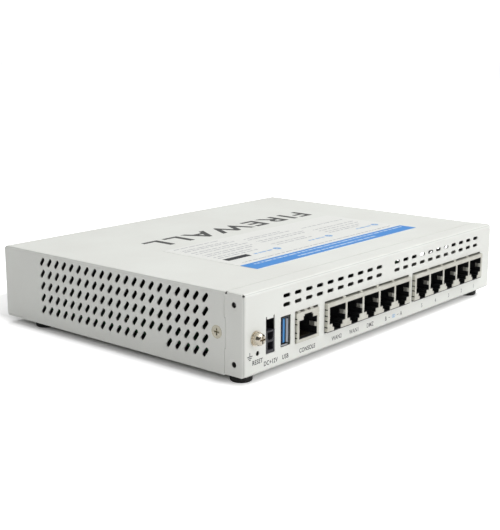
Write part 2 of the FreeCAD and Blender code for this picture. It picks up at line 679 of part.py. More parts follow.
def cover_screws():
    """Flat-head cross-recess screws, one in each side of the cover."""
    centre = FreeCAD.Vector(INNER_X, COVER_SCREW_Y, COVER_SCREW_Z)
    head = Part.makeCone(COVER_SCREW_HEAD_R - SHEET, COVER_SCREW_HEAD_R, SHEET, centre, X_AXIS)
    shank = rod(M3_R, centre, X_AXIS.negative(), SCREW_LENGTH)
    face = FreeCAD.Vector(HALF_W, COVER_SCREW_Y, COVER_SCREW_Z)
    screw = fused([head, shank]).cut(cross_recess(face, X_AXIS, *FLAT_HEAD_CROSS))
    return group([screw, mirrored_x(screw)])


def foot(x, y):
    """Rubber foot stuck to the floor, slightly narrower and rounded at its tread."""
    flat_r = FOOT_R - FOOT_TAPER - FOOT_ROUND
    profile = [(0, 0), (flat_r, 0)]
    for step in range(1, FOOT_ROUND_STEPS + 1):
        angle = step / FOOT_ROUND_STEPS * math.pi / 2
        profile.append((flat_r + FOOT_ROUND * math.sin(angle), FOOT_ROUND * (1 - math.cos(angle))))
    profile += [(FOOT_R, FLOOR_Z), (0, FLOOR_Z)]
    return lathe(profile, FreeCAD.Vector(x, y, 0), Z_AXIS)


# ---------------------------------------------------------------- board and what it carries
def main_board():
    """Circuit board with its fixing holes and the heat sink's two pin holes."""
    points = rectangle((-BOARD_HALF_W, BOARD_HALF_W), BOARD_Y)
    board = prism("xy", points, (BOARD_TOP_Z - BOARD_T, BOARD_TOP_Z), [BOARD_CORNER_R] * 4)
    below = BOARD_TOP_Z - BOARD_T - PAST
    holes = [(x, y, BOARD_HOLE_R) for x, y in board_screw_positions()]
    holes += [(x, y, SINK_PIN_HOLE_R) for x, y in sink_pin_positions()]
    return board.cut([rod(radius, FreeCAD.Vector(x, y, below), Z_AXIS, BOARD_T + 2 * PAST)
                      for x, y, radius in holes])


def board_standoffs():
    """Threaded pillars clinched into the floor."""
    height = BOARD_TOP_Z - BOARD_T - FLOOR_TOP_Z
    return group([tube(STANDOFF_R, M3_THREAD_R, FreeCAD.Vector(x, y, FLOOR_TOP_Z), Z_AXIS, height)
                  for x, y in board_screw_positions()])


def pan_screw(start, axis, head_r, head_h, shank_length):
    """Pan-head cross-recess screw whose head stands on start, with its shank against axis."""
    dome = [(head_r * across, head_h * up) for across, up in PAN_HEAD]
    head = lathe([(0, 0), (head_r, 0), *dome, (0, head_h)], start, axis)
    shank = rod(M3_R, start, axis.negative(), shank_length)
    length, width, depth = PAN_CROSS
    recess = cross_recess(start + axis * head_h, axis, head_r * length, head_r * width, head_h * depth)
    return fused([head, shank]).cut(recess)


def board_screws():
    """Screws that hold the board to its pillars."""
    return group([pan_screw(FreeCAD.Vector(x, y, BOARD_TOP_Z), Z_AXIS, *BOARD_SCREW_HEAD, SCREW_LENGTH)
                  for x, y in board_screw_positions()])


def processor():
    """Main processor: package with a raised lid."""
    width, depth, height = CPU_SIZE
    substrate = block(CPU_CENTRE, (width, depth, CPU_SUBSTRATE_T), BOARD_TOP_Z)
    lid_size = (width - CPU_LID_INSET, depth - CPU_LID_INSET, height - CPU_SUBSTRATE_T)
    return fused([substrate, block(CPU_CENTRE, lid_size, BOARD_TOP_Z + CPU_SUBSTRATE_T)])


def thermal_pad():
    """Soft pad between processor and heat sink."""
    return block(CPU_CENTRE, PAD_SIZE, BOARD_TOP_Z + CPU_SIZE[2])


def sink_base_z():
    """Underside of the heat sink."""
    return BOARD_TOP_Z + CPU_SIZE[2] + PAD_SIZE[2]


def sink_pin_positions():
    """Opposite corners of the heat sink, where its spring pins pass through."""
    dx, dy = SINK_PIN_OFFSET
    return [(CPU_CENTRE[0] + dx, CPU_CENTRE[1] + dy), (CPU_CENTRE[0] - dx, CPU_CENTRE[1] - dy)]


def heat_sink():
    """Extruded heat sink with upright fins, cleared round its two pins."""
    base_z = sink_base_z()
    solids = [block(CPU_CENTRE, (SINK_SIZE[0], SINK_SIZE[1], SINK_BASE_T), base_z)]
    pitch = (SINK_SIZE[0] - SINK_FIN_T) / (SINK_FINS - 1)
    for index in range(SINK_FINS):
        x = CPU_CENTRE[0] - (SINK_SIZE[0] - SINK_FIN_T) / 2 + index * pitch
        solids.append(block((x, CPU_CENTRE[1]), (SINK_FIN_T, SINK_SIZE[1], SINK_TOP_Z - base_z), base_z))
    room = (SINK_PIN_ROOM, SINK_PIN_ROOM, SINK_TOP_Z)
    cutters = []
    for x, y in sink_pin_positions():
        start = FreeCAD.Vector(x, y, base_z - PAST)
        cutters.append(rod(SINK_PIN_BORE_R, start, Z_AXIS, SINK_BASE_T + 2 * PAST))
        cutters.append(block((x, y), room, base_z + SINK_BASE_T))
    return fused(solids).cut(cutters)


def heat_sink_pins():
    """Push pins that hold the heat sink down on the board."""
    top = sink_base_z() + SINK_BASE_T
    head_r, head_h = SINK_PIN_HEAD
    tip_r, barb_r, barb_h = SINK_PIN_BARB
    bottom = BOARD_TOP_Z - BOARD_T - barb_h - OVERLAP
    pins = []
    for x, y in sink_pin_positions():
        tip = FreeCAD.Vector(x, y, bottom)
        shaft = rod(SINK_PIN_R, tip, Z_AXIS, top - bottom + OVERLAP)
        head = rod(head_r, FreeCAD.Vector(x, y, top), Z_AXIS, head_h)
        pins.append(fused([shaft, head, Part.makeCone(tip_r, barb_r, barb_h, tip, Z_AXIS)]))
    return group(pins)


def grid(xs, ys):
    """Centres at every crossing of some columns and rows."""
    return [(x, y) for x in xs for y in ys]


def chips(centres, size):
    """Flat chip packages with a chamfered top edge, resting on the board."""
    solids = []
    for centre in centres:
        body = block(centre, size, BOARD_TOP_Z)
        rim = [edge for edge in body.Edges if edge.BoundBox.ZMin > BOARD_TOP_Z + size[2] - OVERLAP]
        solids.append(body.makeChamfer(CHIP_CHAMFER, rim))
    return group(solids)


def capacitors():
    """Electrolytic cans on square seats."""
    radius, height = CAPACITOR_CAN
    can_z = BOARD_TOP_Z + CAPACITOR_SEAT[2]
    cans = []
    for x, y in grid(CAPACITOR_X, CAPACITOR_Y):
        can = rod(radius, FreeCAD.Vector(x, y, can_z), Z_AXIS, height)
        rim = [edge for edge in can.Edges if edge.BoundBox.ZMin > can_z + height - OVERLAP]
        seat = block((x, y), CAPACITOR_SEAT, BOARD_TOP_Z)
        cans.append(fused([seat, can.makeFillet(CAPACITOR_ROUND, rim)]))
    return group(cans)


def coin_cell_holder():
    """Open cup that holds the clock's coin cell, notched so that the cell can be pushed out."""
    radius, height = CELL_CUP
    seat = CELL_CENTRE + Z_AXIS * CELL_CUP_FLOOR
    cup = rod(radius, CELL_CENTRE, Z_AXIS, height).cut(rod(CELL_CUP_BORE_R, seat, Z_AXIS, height))
    notch_x = (CELL_CENTRE.x - CELL_NOTCH_W / 2, CELL_CENTRE.x + CELL_NOTCH_W / 2)
    notch_y = (CELL_CENTRE.y - radius - PAST, CELL_CENTRE.y - CELL_NOTCH_W)
    return cup.cut(box(notch_x, notch_y, (seat.z, seat.z + height)))


def coin_cell():
    """Clock battery."""
    radius, thick = CELL
    return rod(radius, CELL_CENTRE + Z_AXIS * CELL_CUP_FLOOR, Z_AXIS, thick)


# ---------------------------------------------------------------- sockets
def port_centres(bank):
    """X of each port in a bank."""
    middle = (PORTS_PER_BANK - 1) / 2
    return [BANK_CENTRES_X[bank] + (middle - index) * PORT_PITCH for index in range(PORTS_PER_BANK)]


def stepped_opening(steps, x, y_span, margin=0.0):
    """Cutter with a network socket's stepped outline."""
    solids = []
    for half_width, low, high in steps:
        x_span = (x - half_width - margin, x + half_width + margin)
        solids.append(box(x_span, y_span, (low - margin, high + margin)))
    return fused(solids)


def bank_span_x(bank):
    """X limits of a bank's shield."""
    return (BANK_CENTRES_X[bank] - BANK_W / 2, BANK_CENTRES_X[bank] + BANK_W / 2)


def console_span_x():
    """X limits of the console socket's shield."""
    return (CONSOLE_X - CONSOLE_W / 2, CONSOLE_X + CONSOLE_W / 2)


def leaf_springs(x, edge, leaf, front_y):
    """Grounding springs that run back from the edge of a shield's opening along both walls of the socket."""
    outer = LEAF_INNER_X + LEAF_T
    slant_y = front_y - LEAF_SLANT
    end_y = front_y - leaf["length"]
    points = [(edge + OVERLAP, front_y), (edge - OVERLAP, front_y), (LEAF_INNER_X, slant_y),
              (LEAF_INNER_X, end_y), (outer, end_y), (outer, slant_y)]
    spring = prism("xy", points, (leaf["z"] - LEAF_W / 2, leaf["z"] + LEAF_W / 2))
    return [moved(spring, x=x), moved(mirrored_x(spring), x=x)]


def finger_gaps(x_span, front_y, gaps_z):
    """Cutters for the gaps between the contact fingers, at both front corners of a shield."""
    y_span = (front_y - FINGER_GAP_DEPTH, front_y + PAST)
    cutters = []
    for z in gaps_z:
        z_span = (z - FINGER_GAP_H / 2, z + FINGER_GAP_H / 2)
        cutters.append(box((x_span[0] - PAST, x_span[0] + FINGER_GAP_WRAP), y_span, z_span))
        cutters.append(box((x_span[1] - FINGER_GAP_WRAP, x_span[1] + PAST), y_span, z_span))
    return cutters


def finger_bump(x, front_y, top_z):
    """Sprung ridge on top of a shield that presses on the rear panel."""
    back, front = FINGER_BUMP_Y
    ridge = [(front_y + back, top_z - OVERLAP), (front_y + front, top_z - OVERLAP),
             (FINGER_BUMP_PEAK_Y, top_z + FINGER_BUMP_H)]
    return prism("yz", ridge, (x - FINGER_BUMP_W / 2, x + FINGER_BUMP_W / 2))


def socket_shield(spans, ports, leaf, gaps_z, bumps_x):
    """Folded shield can: front, sides, top and back, with contact fingers at its edges."""
    x_span, (back_y, front_y), z_span = spans
    inner_x = (x_span[0] + SHIELD_T, x_span[1] - SHIELD_T)
    inner_y = (back_y + SHIELD_T, front_y - SHIELD_T)
    void = box(inner_x, inner_y, (z_span[0] - PAST, z_span[1] - SHIELD_T))
    face = (front_y - PAST, front_y + PAST)
    openings = [stepped_opening(steps, x, face, SHIELD_MARGIN) for x, steps in ports]
    can = box(*spans).cut([void] + openings + finger_gaps(x_span, front_y, gaps_z))
    solids = [can] + [finger_bump(x, front_y, z_span[1]) for x in bumps_x]
    for x, steps in ports:
        solids += leaf_springs(x, steps[0][0] + SHIELD_MARGIN, leaf, front_y)
    return fused(solids)


def socket_insert(spans, ports, leaf):
    """Moulded insert that fills the shield down to the board, with one deep cavity for each port."""
    x_span, (back_y, front_y), z_span = spans
    face_y = front_y - SHIELD_T
    body = box((x_span[0] + SHIELD_T, x_span[1] - SHIELD_T), (back_y + SHIELD_T, face_y),
               (BOARD_TOP_Z, z_span[1] - SHIELD_T))
    pocket_y = (face_y - leaf["length"] - LEAF_POCKET_BEHIND, front_y)
    half_h = LEAF_W / 2 + LEAF_POCKET_ABOVE
    pocket_z = (leaf["z"] - half_h, leaf["z"] + half_h)
    cutters = []
    for x, steps in ports:
        cutters.append(stepped_opening(steps, x, (face_y - SOCKET_DEPTH, front_y), INSERT_MARGIN))
        half_w = steps[0][0] + SHIELD_MARGIN + LEAF_POCKET_SIDE
        cutters.append(box((x - half_w, x + half_w), pocket_y, pocket_z))
    return body.cut(cutters)


def socket_contacts(ports_x, front_y, wire_z, back_y):
    """Spring contacts: each runs back from the mouth, then down through the insert to the board."""
    mouth_z, inner_z = wire_z
    thick = CONTACT_T
    mouth_y = front_y - CONTACT_MOUTH
    bend_y = front_y - SOCKET_DEPTH + CONTACT_BEND
    leg_y = back_y + CONTACT_LEG
    points = [(mouth_y, mouth_z), (bend_y, inner_z), (leg_y, inner_z), (leg_y, BOARD_TOP_Z),
              (leg_y + thick, BOARD_TOP_Z), (leg_y + thick, inner_z - thick), (bend_y, inner_z - thick),
              (mouth_y, mouth_z - thick)]
    solids = []
    for x in ports_x:
        for index in range(CONTACT_COUNT):
            centre = x + (index - (CONTACT_COUNT - 1) / 2) * CONTACT_PITCH
            solids.append(prism("yz", points, (centre - CONTACT_W / 2, centre + CONTACT_W / 2)))
    return group(solids)


def bank_spans(bank):
    """Limits of a bank's shield along X, Y and Z."""
    return bank_span_x(bank), (BANK_BACK_Y, BANK_FRONT_Y), BANK_Z


def bank_ports(bank):
    """The five ports of a bank with their socket outline."""
    return [(x, BANK_OPENING) for x in port_centres(bank)]


def bank_shield(bank):
    """Shield of one five-port bank, with a bump over each wall between ports."""
    centres = port_centres(bank)
    bumps_x = [(a + b) / 2 for a, b in zip(centres, centres[1:])]
    return socket_shield(bank_spans(bank), bank_ports(bank), BANK_LEAF, BANK_FINGER_GAPS_Z, bumps_x)


def bank_insert(bank):
    """Insert of one five-port bank."""
    return socket_insert(bank_spans(bank), bank_ports(bank), BANK_LEAF)


def bank_contacts(bank):
    """Contacts of one five-port bank, along the top of each socket."""
    wire_z = [BANK_OPENING[0][2] - drop for drop in BANK_WIRE_DROP]
    return socket_contacts(port_centres(bank), BANK_FRONT_Y, wire_z, BANK_BACK_Y)


def console_spans():
    """Limits of the console socket's shield along X, Y and Z."""
    return console_span_x(), (CONSOLE_BACK_Y, CONSOLE_FRONT_Y), CONSOLE_Z


def console_shield():
    """Shield of the single console socket."""
    bumps_x = [CONSOLE_X + offset for offset in CONSOLE_BUMPS_X]
    ports = [(CONSOLE_X, CONSOLE_OPENING)]
    return socket_shield(console_spans(), ports, CONSOLE_LEAF, CONSOLE_FINGER_GAPS_Z, bumps_x)


def console_insert():
    """Insert of the console socket."""
    return socket_insert(console_spans(), [(CONSOLE_X, CONSOLE_OPENING)], CONSOLE_LEAF)


def console_contacts():
    """Contacts of the console socket, along the bottom of the opening."""
    wire_z = [CONSOLE_OPENING[0][1] + CONTACT_T + rise for rise in CONSOLE_WIRE_RISE]
    return socket_contacts([CONSOLE_X], CONSOLE_FRONT_Y, wire_z, CONSOLE_BACK_Y)


def inset(span, by):
    """A pair of limits, each moved inwards."""
    return (span[0] + by, span[1] - by)


def usb_shell():
    """Folded shell of the USB socket, open at both ends."""
    inner = rectangle(inset(USB_X, USB_WALL), inset(USB_Z, USB_WALL))
    outer = prism("xz", rectangle(USB_X, USB_Z), (USB_BACK_Y, USB_FRONT_Y), [USB_CORNER_R] * 4)
    void = prism("xz", inner, (USB_BACK_Y - PAST, USB_FRONT_Y + PAST), [USB_CORNER_R - USB_WALL] * 4)
    return outer.cut(void)


def usb_tongue():
    """Moulded block at the back of the shell, with the tongue standing out of it."""
    wall = USB_WALL + USB_BLOCK_FIT
    root_y = USB_BACK_Y + USB_BLOCK_Y
    section = rectangle(inset(USB_X, wall), inset(USB_Z, wall))
    back = prism("xz", section, (USB_BACK_Y, root_y), [USB_CORNER_R - USB_WALL] * 4)
    tongue = box(TONGUE_X, (root_y, TONGUE_FRONT_Y), TONGUE_Z)
    edges = [edge for edge in tongue.Edges if edge.BoundBox.YMin > TONGUE_FRONT_Y - OVERLAP]
    return fused([back, tongue.makeChamfer(TONGUE_CHAMFER, edges)])


def usb_contact(size, y_span, z):
    """One flat contact let into the tongue's +X face."""
    width, thick = size
    face_x = TONGUE_X[1] - USB_CONTACT_SINK
    return box((face_x, face_x + thick), y_span, (z - width / 2, z + width / 2))


def usb_contacts():
    """Four long contacts on the tongue, with five short ones at its front."""
    long_y = (USB_BACK_Y + USB_CONTACT_Y[0], TONGUE_FRONT_Y + USB_CONTACT_Y[1])
    short_y = (TONGUE_FRONT_Y + USB_INNER_CONTACT_Y[0], TONGUE_FRONT_Y + USB_INNER_CONTACT_Y[1])
    solids = [usb_contact(USB_CONTACT, long_y, z) for z in USB_CONTACTS_Z]
    low = USB_CONTACTS_Z[0] - USB_CONTACT[0]
    high = USB_CONTACTS_Z[-1] + USB_CONTACT[0]
    pitch = (high - low) / (USB_INNER_CONTACTS - 1)
    for index in range(USB_INNER_CONTACTS):
        solids.append(usb_contact(USB_INNER_CONTACT, short_y, low + index * pitch))
    return group(solids)


def dc_inlet_housing():
    """Two-way power header: a square cavity below, a keyed one above and a latch ramp on top."""
    body = box(INLET_X, (INLET_BACK_Y, INLET_FRONT_Y), INLET_Z)
    depth = (INLET_FRONT_Y - INLET_CAVITY_DEPTH, INLET_FRONT_Y + PAST)
    lower = box(INLET_CAVITY_X, depth, INLET_LOWER_Z)
    left, right = INLET_CAVITY_X
    low, high = INLET_UPPER_Z
    keyed = [(left, high), (left, low + INLET_CHAMFER), (left + INLET_CHAMFER, low),
             (right - INLET_CHAMFER, low), (right, low + INLET_CHAMFER), (right, high)]
    upper = prism("xz", keyed, depth)
    middle = (INLET_X[0] + INLET_X[1]) / 2
    back_y, crest_y, toe_y = (INLET_FRONT_Y + offset for offset in INLET_RAMP_Y)
    root_z = INLET_Z[1] - OVERLAP
    crest_z = INLET_Z[1] + INLET_RAMP_H
    ramp_points = [(back_y, root_z), (toe_y, root_z), (crest_y, crest_z), (back_y, crest_z)]
    ramp = prism("yz", ramp_points, (middle - INLET_RAMP_W / 2, middle + INLET_RAMP_W / 2))
    return fused([body.cut([lower, upper]), ramp])


def dc_inlet_pins():
    """Round-nosed pins in both cavities, turned down to the board behind the header."""
    x = (INLET_CAVITY_X[0] + INLET_CAVITY_X[1]) / 2
    pins = []
    for offset, (low, high) in zip(INLET_LEG_Y, (INLET_LOWER_Z, INLET_UPPER_Z)):
        z = (low + high) / 2
        leg_y = INLET_BACK_Y + offset
        nose = rod(INLET_PIN_R, FreeCAD.Vector(x, leg_y, z), Y_AXIS, INLET_FRONT_Y - INLET_PIN_NOSE - leg_y)
        leg = rod(INLET_PIN_R, FreeCAD.Vector(x, leg_y + INLET_PIN_R, BOARD_TOP_Z), Z_AXIS, z - BOARD_TOP_Z)
        pins.append(fused([nose, leg]))
    return group(pins)


# ---------------------------------------------------------------- earth terminal, reset, lights, labels
def ground_washer():
    """Flat washer against the rear panel."""
    radius, thick = GROUND_WASHER
    return tube(radius, M3_CLEARANCE_R, FreeCAD.Vector(GROUND_X, REAR_Y, GROUND_Z), Y_AXIS, thick)


def ground_lock_washer():
    """Split spring washer under the screw's head."""
    radius, thick = GROUND_LOCK_WASHER
    start = FreeCAD.Vector(GROUND_X, REAR_Y + GROUND_WASHER[1], GROUND_Z)
    ring = tube(radius, M3_CLEARANCE_R, start, Y_AXIS, thick)
    split_x = (GROUND_X - LOCK_WASHER_SPLIT / 2, GROUND_X + LOCK_WASHER_SPLIT / 2)
    return ring.cut(box(split_x, (REAR_Y, start.y + thick + PAST), (GROUND_Z, GROUND_Z + radius + PAST)))


def ground_screw():
    """Pan-head screw of the earth terminal."""
    start = FreeCAD.Vector(GROUND_X, REAR_Y + GROUND_WASHER[1] + GROUND_LOCK_WASHER[1], GROUND_Z)
    return pan_screw(start, Y_AXIS, *GROUND_HEAD, start.y - GROUND_SHANK_END_Y)


def ground_nut():
    """Clinch nut behind the rear panel."""
    radius, thick = GROUND_NUT
    start = FreeCAD.Vector(GROUND_X, INNER_REAR_Y - thick, GROUND_Z)
    return tube(radius, M3_THREAD_R, start, Y_AXIS, thick)


def reset_switch_body():
    """Edge switch on the board, bored for its plunger."""
    half = RESET_BODY_W / 2
    body = box((RESET_X - half, RESET_X + half), RESET_BODY_Y, (BOARD_TOP_Z, RESET_BODY_TOP_Z))
    start = FreeCAD.Vector(RESET_X, RESET_BODY_Y[0] + PLUNGER_BORE_FLOOR, RESET_Z)
    return body.cut(rod(PLUNGER_BORE_R, start, Y_AXIS, RESET_BODY_Y[1] - start.y + PAST))


def reset_plunger():
    """Button that a pin pushes through the rear panel's hole."""
    start = FreeCAD.Vector(RESET_X, PLUNGER_Y[0], RESET_Z)
    stem = rod(PLUNGER_R, start, Y_AXIS, PLUNGER_Y[1] - PLUNGER_Y[0])
    tip = [edge for edge in stem.Edges if edge.BoundBox.YMin > PLUNGER_Y[1] - OVERLAP]
    return stem.makeFillet(PLUNGER_ROUND, tip)


def status_lights():
    """Side-looking light-emitting diodes at the board's front edge."""
    half = LIGHT_BODY_W / 2
    height = (BOARD_TOP_Z, LIGHT_BODY_TOP_Z)
    return group([box((x - half, x + half), LIGHT_BODY_Y, height) for x in light_positions()])


def light_pipe():
    """Clear bar on two arms, with one round pin for each status light, ending flush with the front face."""
    xs = light_positions()
    ends = (xs[0] - PIPE_BAR_END, xs[-1] + PIPE_BAR_END)
    solids = [box(ends, PIPE_BAR_Y, PIPE_BAR_Z)]
    pin_length = PIPE_ARM_Y[0] - PIPE_START_Y
    solids += [rod(LIGHT_R, FreeCAD.Vector(x, PIPE_START_Y, LIGHT_Z), Y_AXIS, pin_length) for x in xs]
    for x_span in ((ends[0], ends[0] + PIPE_ARM_W), (ends[1] - PIPE_ARM_W, ends[1])):
        solids.append(box(x_span, PIPE_ARM_Y, PIPE_ARM_Z))
        solids.append(box(x_span, PIPE_FOOT_Y, (BOARD_TOP_Z, BOARD_TOP_Z + PIPE_FOOT_H)))
    return fused(solids)


def top_label():
    """Printed film stuck on the cover."""
    return prism("xy", rectangle(TOP_LABEL_X, TOP_LABEL_Y), (TOP_Z, TOP_Z + LABEL_T), [TOP_LABEL_R] * 4)


def bottom_label():
    """Rating label under the floor."""
    points = rectangle(BOTTOM_LABEL_X, BOTTOM_LABEL_Y)
    return prism("xy", points, (FLOOR_Z - LABEL_T, FLOOR_Z), [BOTTOM_LABEL_R] * 4)


# ---------------------------------------------------------------- assembly
def foot_nodes():
    """The four feet by name."""
    x = HALF_W - FOOT_SIDE_INSET
    rear_y = REAR_Y - FOOT_REAR_INSET
    front_y = FRONT_Y + FOOT_FRONT_INSET
    return {"foot_front_left": foot(-x, front_y), "foot_front_right": foot(x, front_y),
            "foot_rear_left": foot(-x, rear_y), "foot_rear_right": foot(x, rear_y)}


def case_nodes():
    """The case and its fasteners."""
    return {"base_chassis": base_chassis(), "top_cover": top_cover(), "cover_screws": cover_screws(),
            "top_label": top_label(), "bottom_label": bottom_label()}


def board_nodes():
    """The main board, its fixings and the parts soldered to it."""
    return {"main_board": main_board(), "board_standoffs": board_standoffs(),
            "board_screws": board_screws(), "processor": processor(), "thermal_pad": thermal_pad(),
            "heat_sink": heat_sink(), "heat_sink_pins": heat_sink_pins(),
            "memory_chips": chips(grid(MEMORY_X, MEMORY_Y), MEMORY_SIZE),
            "flash_chip": chips([FLASH_CENTRE], FLASH_SIZE),
            "network_chips": chips(NETWORK_CENTRES, NETWORK_SIZE),
            "power_inductors": chips(grid(INDUCTOR_X, INDUCTOR_Y), INDUCTOR_SIZE),
            "power_capacitors": capacitors(), "coin_cell_holder": coin_cell_holder(),
            "coin_cell": coin_cell(),
            "lan_transformers": chips(grid(TRANSFORMER_X, TRANSFORMER_Y), TRANSFORMER_SIZE),
            "status_lights": status_lights(), "light_pipe": light_pipe()}


def port_nodes():
    """Sockets of the rear panel."""
    nodes = {"console_shield": console_shield(), "console_insert": console_insert(),
             "console_contacts": console_contacts(), "usb_shell": usb_shell(), "usb_tongue": usb_tongue(),
             "usb_contacts": usb_contacts(), "dc_inlet_housing": dc_inlet_housing(),
             "dc_inlet_pins": dc_inlet_pins()}
    for bank in BANK_CENTRES_X:
        nodes[f"port_bank_{bank}_shield"] = bank_shield(bank)
        nodes[f"port_bank_{bank}_insert"] = bank_insert(bank)
        nodes[f"port_bank_{bank}_contacts"] = bank_contacts(bank)
    return nodes


def control_nodes():
    """Earth terminal and reset switch."""
    return {"ground_washer": ground_washer(), "ground_lock_washer": ground_lock_washer(),
            "ground_screw": ground_screw(), "ground_nut": ground_nut(),
            "reset_switch_body": reset_switch_body(), "reset_plunger": reset_plunger()}


os.makedirs("parts", exist_ok=True)
for nodes in (case_nodes(), foot_nodes(), board_nodes(), port_nodes(), control_nodes()):
    for node, shape in nodes.items():
        shape.translate(ORIGIN_SHIFT)
        shape.exportStep(f"parts/{node}.step")
        print(f"{node}: {len(shape.Solids)} solids, valid {shape.isValid()}, volume {shape.Volume:.1f}")
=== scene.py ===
import json
import math
import random

import bmesh
import bpy
from mathutils import Matrix, Vector


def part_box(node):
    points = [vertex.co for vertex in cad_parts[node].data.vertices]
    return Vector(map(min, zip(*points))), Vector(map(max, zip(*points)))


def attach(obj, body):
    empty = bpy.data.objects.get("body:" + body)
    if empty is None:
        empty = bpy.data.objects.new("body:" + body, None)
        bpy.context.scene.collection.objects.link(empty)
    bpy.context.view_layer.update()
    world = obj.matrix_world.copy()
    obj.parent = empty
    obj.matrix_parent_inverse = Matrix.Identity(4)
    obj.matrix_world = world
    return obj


# A desktop network firewall seen from its rear right corner. Metres, in the part's own frame: +Z up,
# +Y out of the rear port panel, +X the side with the reset and power end. Print is laid on the CAD
# faces as thin raised ink.

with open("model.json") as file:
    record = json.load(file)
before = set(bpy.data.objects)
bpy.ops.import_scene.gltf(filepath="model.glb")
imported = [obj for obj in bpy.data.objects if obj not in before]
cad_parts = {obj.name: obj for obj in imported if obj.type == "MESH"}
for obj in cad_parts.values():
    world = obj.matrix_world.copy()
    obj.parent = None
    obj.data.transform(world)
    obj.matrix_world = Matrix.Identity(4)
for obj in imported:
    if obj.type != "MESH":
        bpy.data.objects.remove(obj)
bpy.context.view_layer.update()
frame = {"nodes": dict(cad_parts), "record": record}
nodes = frame["nodes"]

MM = 0.001


def mm(*values):
    """Millimetre values as metres."""
    return tuple(value * MM for value in values)


# Planes of the case, taken from the frame. The sheet changes from outer paint to bare metal, darkened
# as painted shade, between two depths below them.
chassis_low, chassis_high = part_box("base_chassis")
cover_low, cover_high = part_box("top_cover")
label_low, label_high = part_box("top_label")
REAR_Y = chassis_high.y
FRONT_Y = cover_low.y
HALF_W = cover_high.x
TOP_Z = cover_high.z
FLOOR_Z = chassis_low.z
PAINT_DEPTH, BARE_AND_SHADE_DEPTH = mm(0.24, 0.64)

# Camera: it circles the target, which lies a little below the middle of the case.
CAMERA_TARGET = Vector(mm(0.88, -9.18, 22.62))
CAMERA_AZIMUTH = math.radians(130.18)
CAMERA_ELEVATION = math.radians(12.53)
CAMERA_ROLL = math.radians(0.09)
CAMERA_DISTANCE = 0.556
CAMERA_LENS_MM = 69.25
CAMERA_SENSOR_MM = 36.0

# Floor and light. The floor shows brighter away from the object, so that it runs into the backdrop with
# no horizon, but that glow doesn't light the object. It starts under the case's sides and rear, and
# beyond its front. Near the case the glow is painted light that makes the case's contact shadow
# narrower and paler. A glow goes from its first strength to its second between two distances.
# Lights are (name, place, target, size, watts).
FLOOR_R = 6.0
FLOOR_SIDES = 96
GLOW_INSET = 0.016
REAR_GLOW_INSET = 0.019
SHADOW_REACH = 0.04
# Near glow: painted light over the contact shadow around the case.
NEAR_GLOW_R = (0.009, 0.02)
NEAR_GLOW = (0.0, 0.62)
FAR_GLOW_R = (0.02, 0.6)
FAR_GLOW = (0.0, 0.3)
WHITE = (1.0, 1.0, 1.0, 1.0)
WORLD_FILL = 0.09
WORLD_FILL_COLOUR = (1.0, 0.99, 0.975, 1.0)
BACKDROP = 1.1
LIGHTS = (
    ("top_light", (0.0, 0.2, 1.5), (0.0, 0.0, 0.0), 2.0, 19.3),
    ("top_left_light", (-0.6, 0.1, 1.5), (0.0, 0.0, 0.0), 1.2, 11.8),
    ("rear_light", (-0.7, 1.4, 0.6), (0.0, 0.0, 0.02), 1.0, 7.3),
    ("corner_fill", (1.0, 1.3, 0.5), (0.0, 0.0, 0.02), 0.8, 3.2),
)

# Ink stands INK_T proud of a face and reaches INK_SINK into it.
INK_T = 0.03 * MM
INK_SINK = 0.02 * MM
INK_WELD = 0.0005 * MM
LETTER_CURVE_STEPS = 4
RING_SIDES = 28

# Legends on the rear panel. Words of the single sockets are (word, node, shift in x, z).
PORTS_PER_BANK = 5
PORT_PITCH = 13.97 * MM
LEGEND_CAP = 2.1 * MM
LEGEND_Z = 7.85 * MM
LEGEND_STYLE = {"squeeze": 0.86, "weight": 0.018, "spacing": 1.08}
SOCKET_WORDS = (
    ("DC+12V", "dc_inlet_housing", -0.45 * MM, LEGEND_Z),
    ("USB", "usb_shell", -0.55 * MM, LEGEND_Z),
    ("CONSOLE", "console_shield", -0.75 * MM, LEGEND_Z),
    ("RESET", "reset_plunger", 0.0, 10.0 * MM),
)
FINE_STYLE = {"squeeze": 0.88, "weight": 0.008, "spacing": 1.06}
BANK_LEGENDS = {1: ("WAN2", "WAN1", "DMZ", "B", "A"), 2: "54321"}
BANK_LEGEND_SHIFT = {1: -1.7 * MM, 2: -2.2 * MM}

# The sign between the last two ports of the first bank: two rings with a dash on each side.
LINKED_PORTS = (3, 4)
LINK_DASH = mm(1.5, 0.24)
LINK_DASH_DX = 3.9 * MM
LINK_RING_R = mm(0.9, 0.55)
LINK_RING_DX = 0.55 * MM

# Earth sign. Its line, bars and stem are shares of its size.
EARTH_SIGN_DX = 3.8 * MM
EARTH_SIGN_Z = 13.3 * MM
EARTH_SIGN_SIZE = 3.4 * MM
EARTH_LINE = 0.11
EARTH_STEM = (0.05, 0.5)
EARTH_BARS = 3
EARTH_BAR_HALF = 0.5
EARTH_BAR_SHRINK = 0.16
EARTH_BAR_DROP = 0.22

# Wording on the top.
TITLE = "FIREWALL"
TITLE_CAP = 14.0 * MM
TITLE_STYLE = {"weight": 0.022, "spacing": 1.2}
TITLE_Y = -32.5 * MM
TITLE_X = mm(-68.0, 60.0)

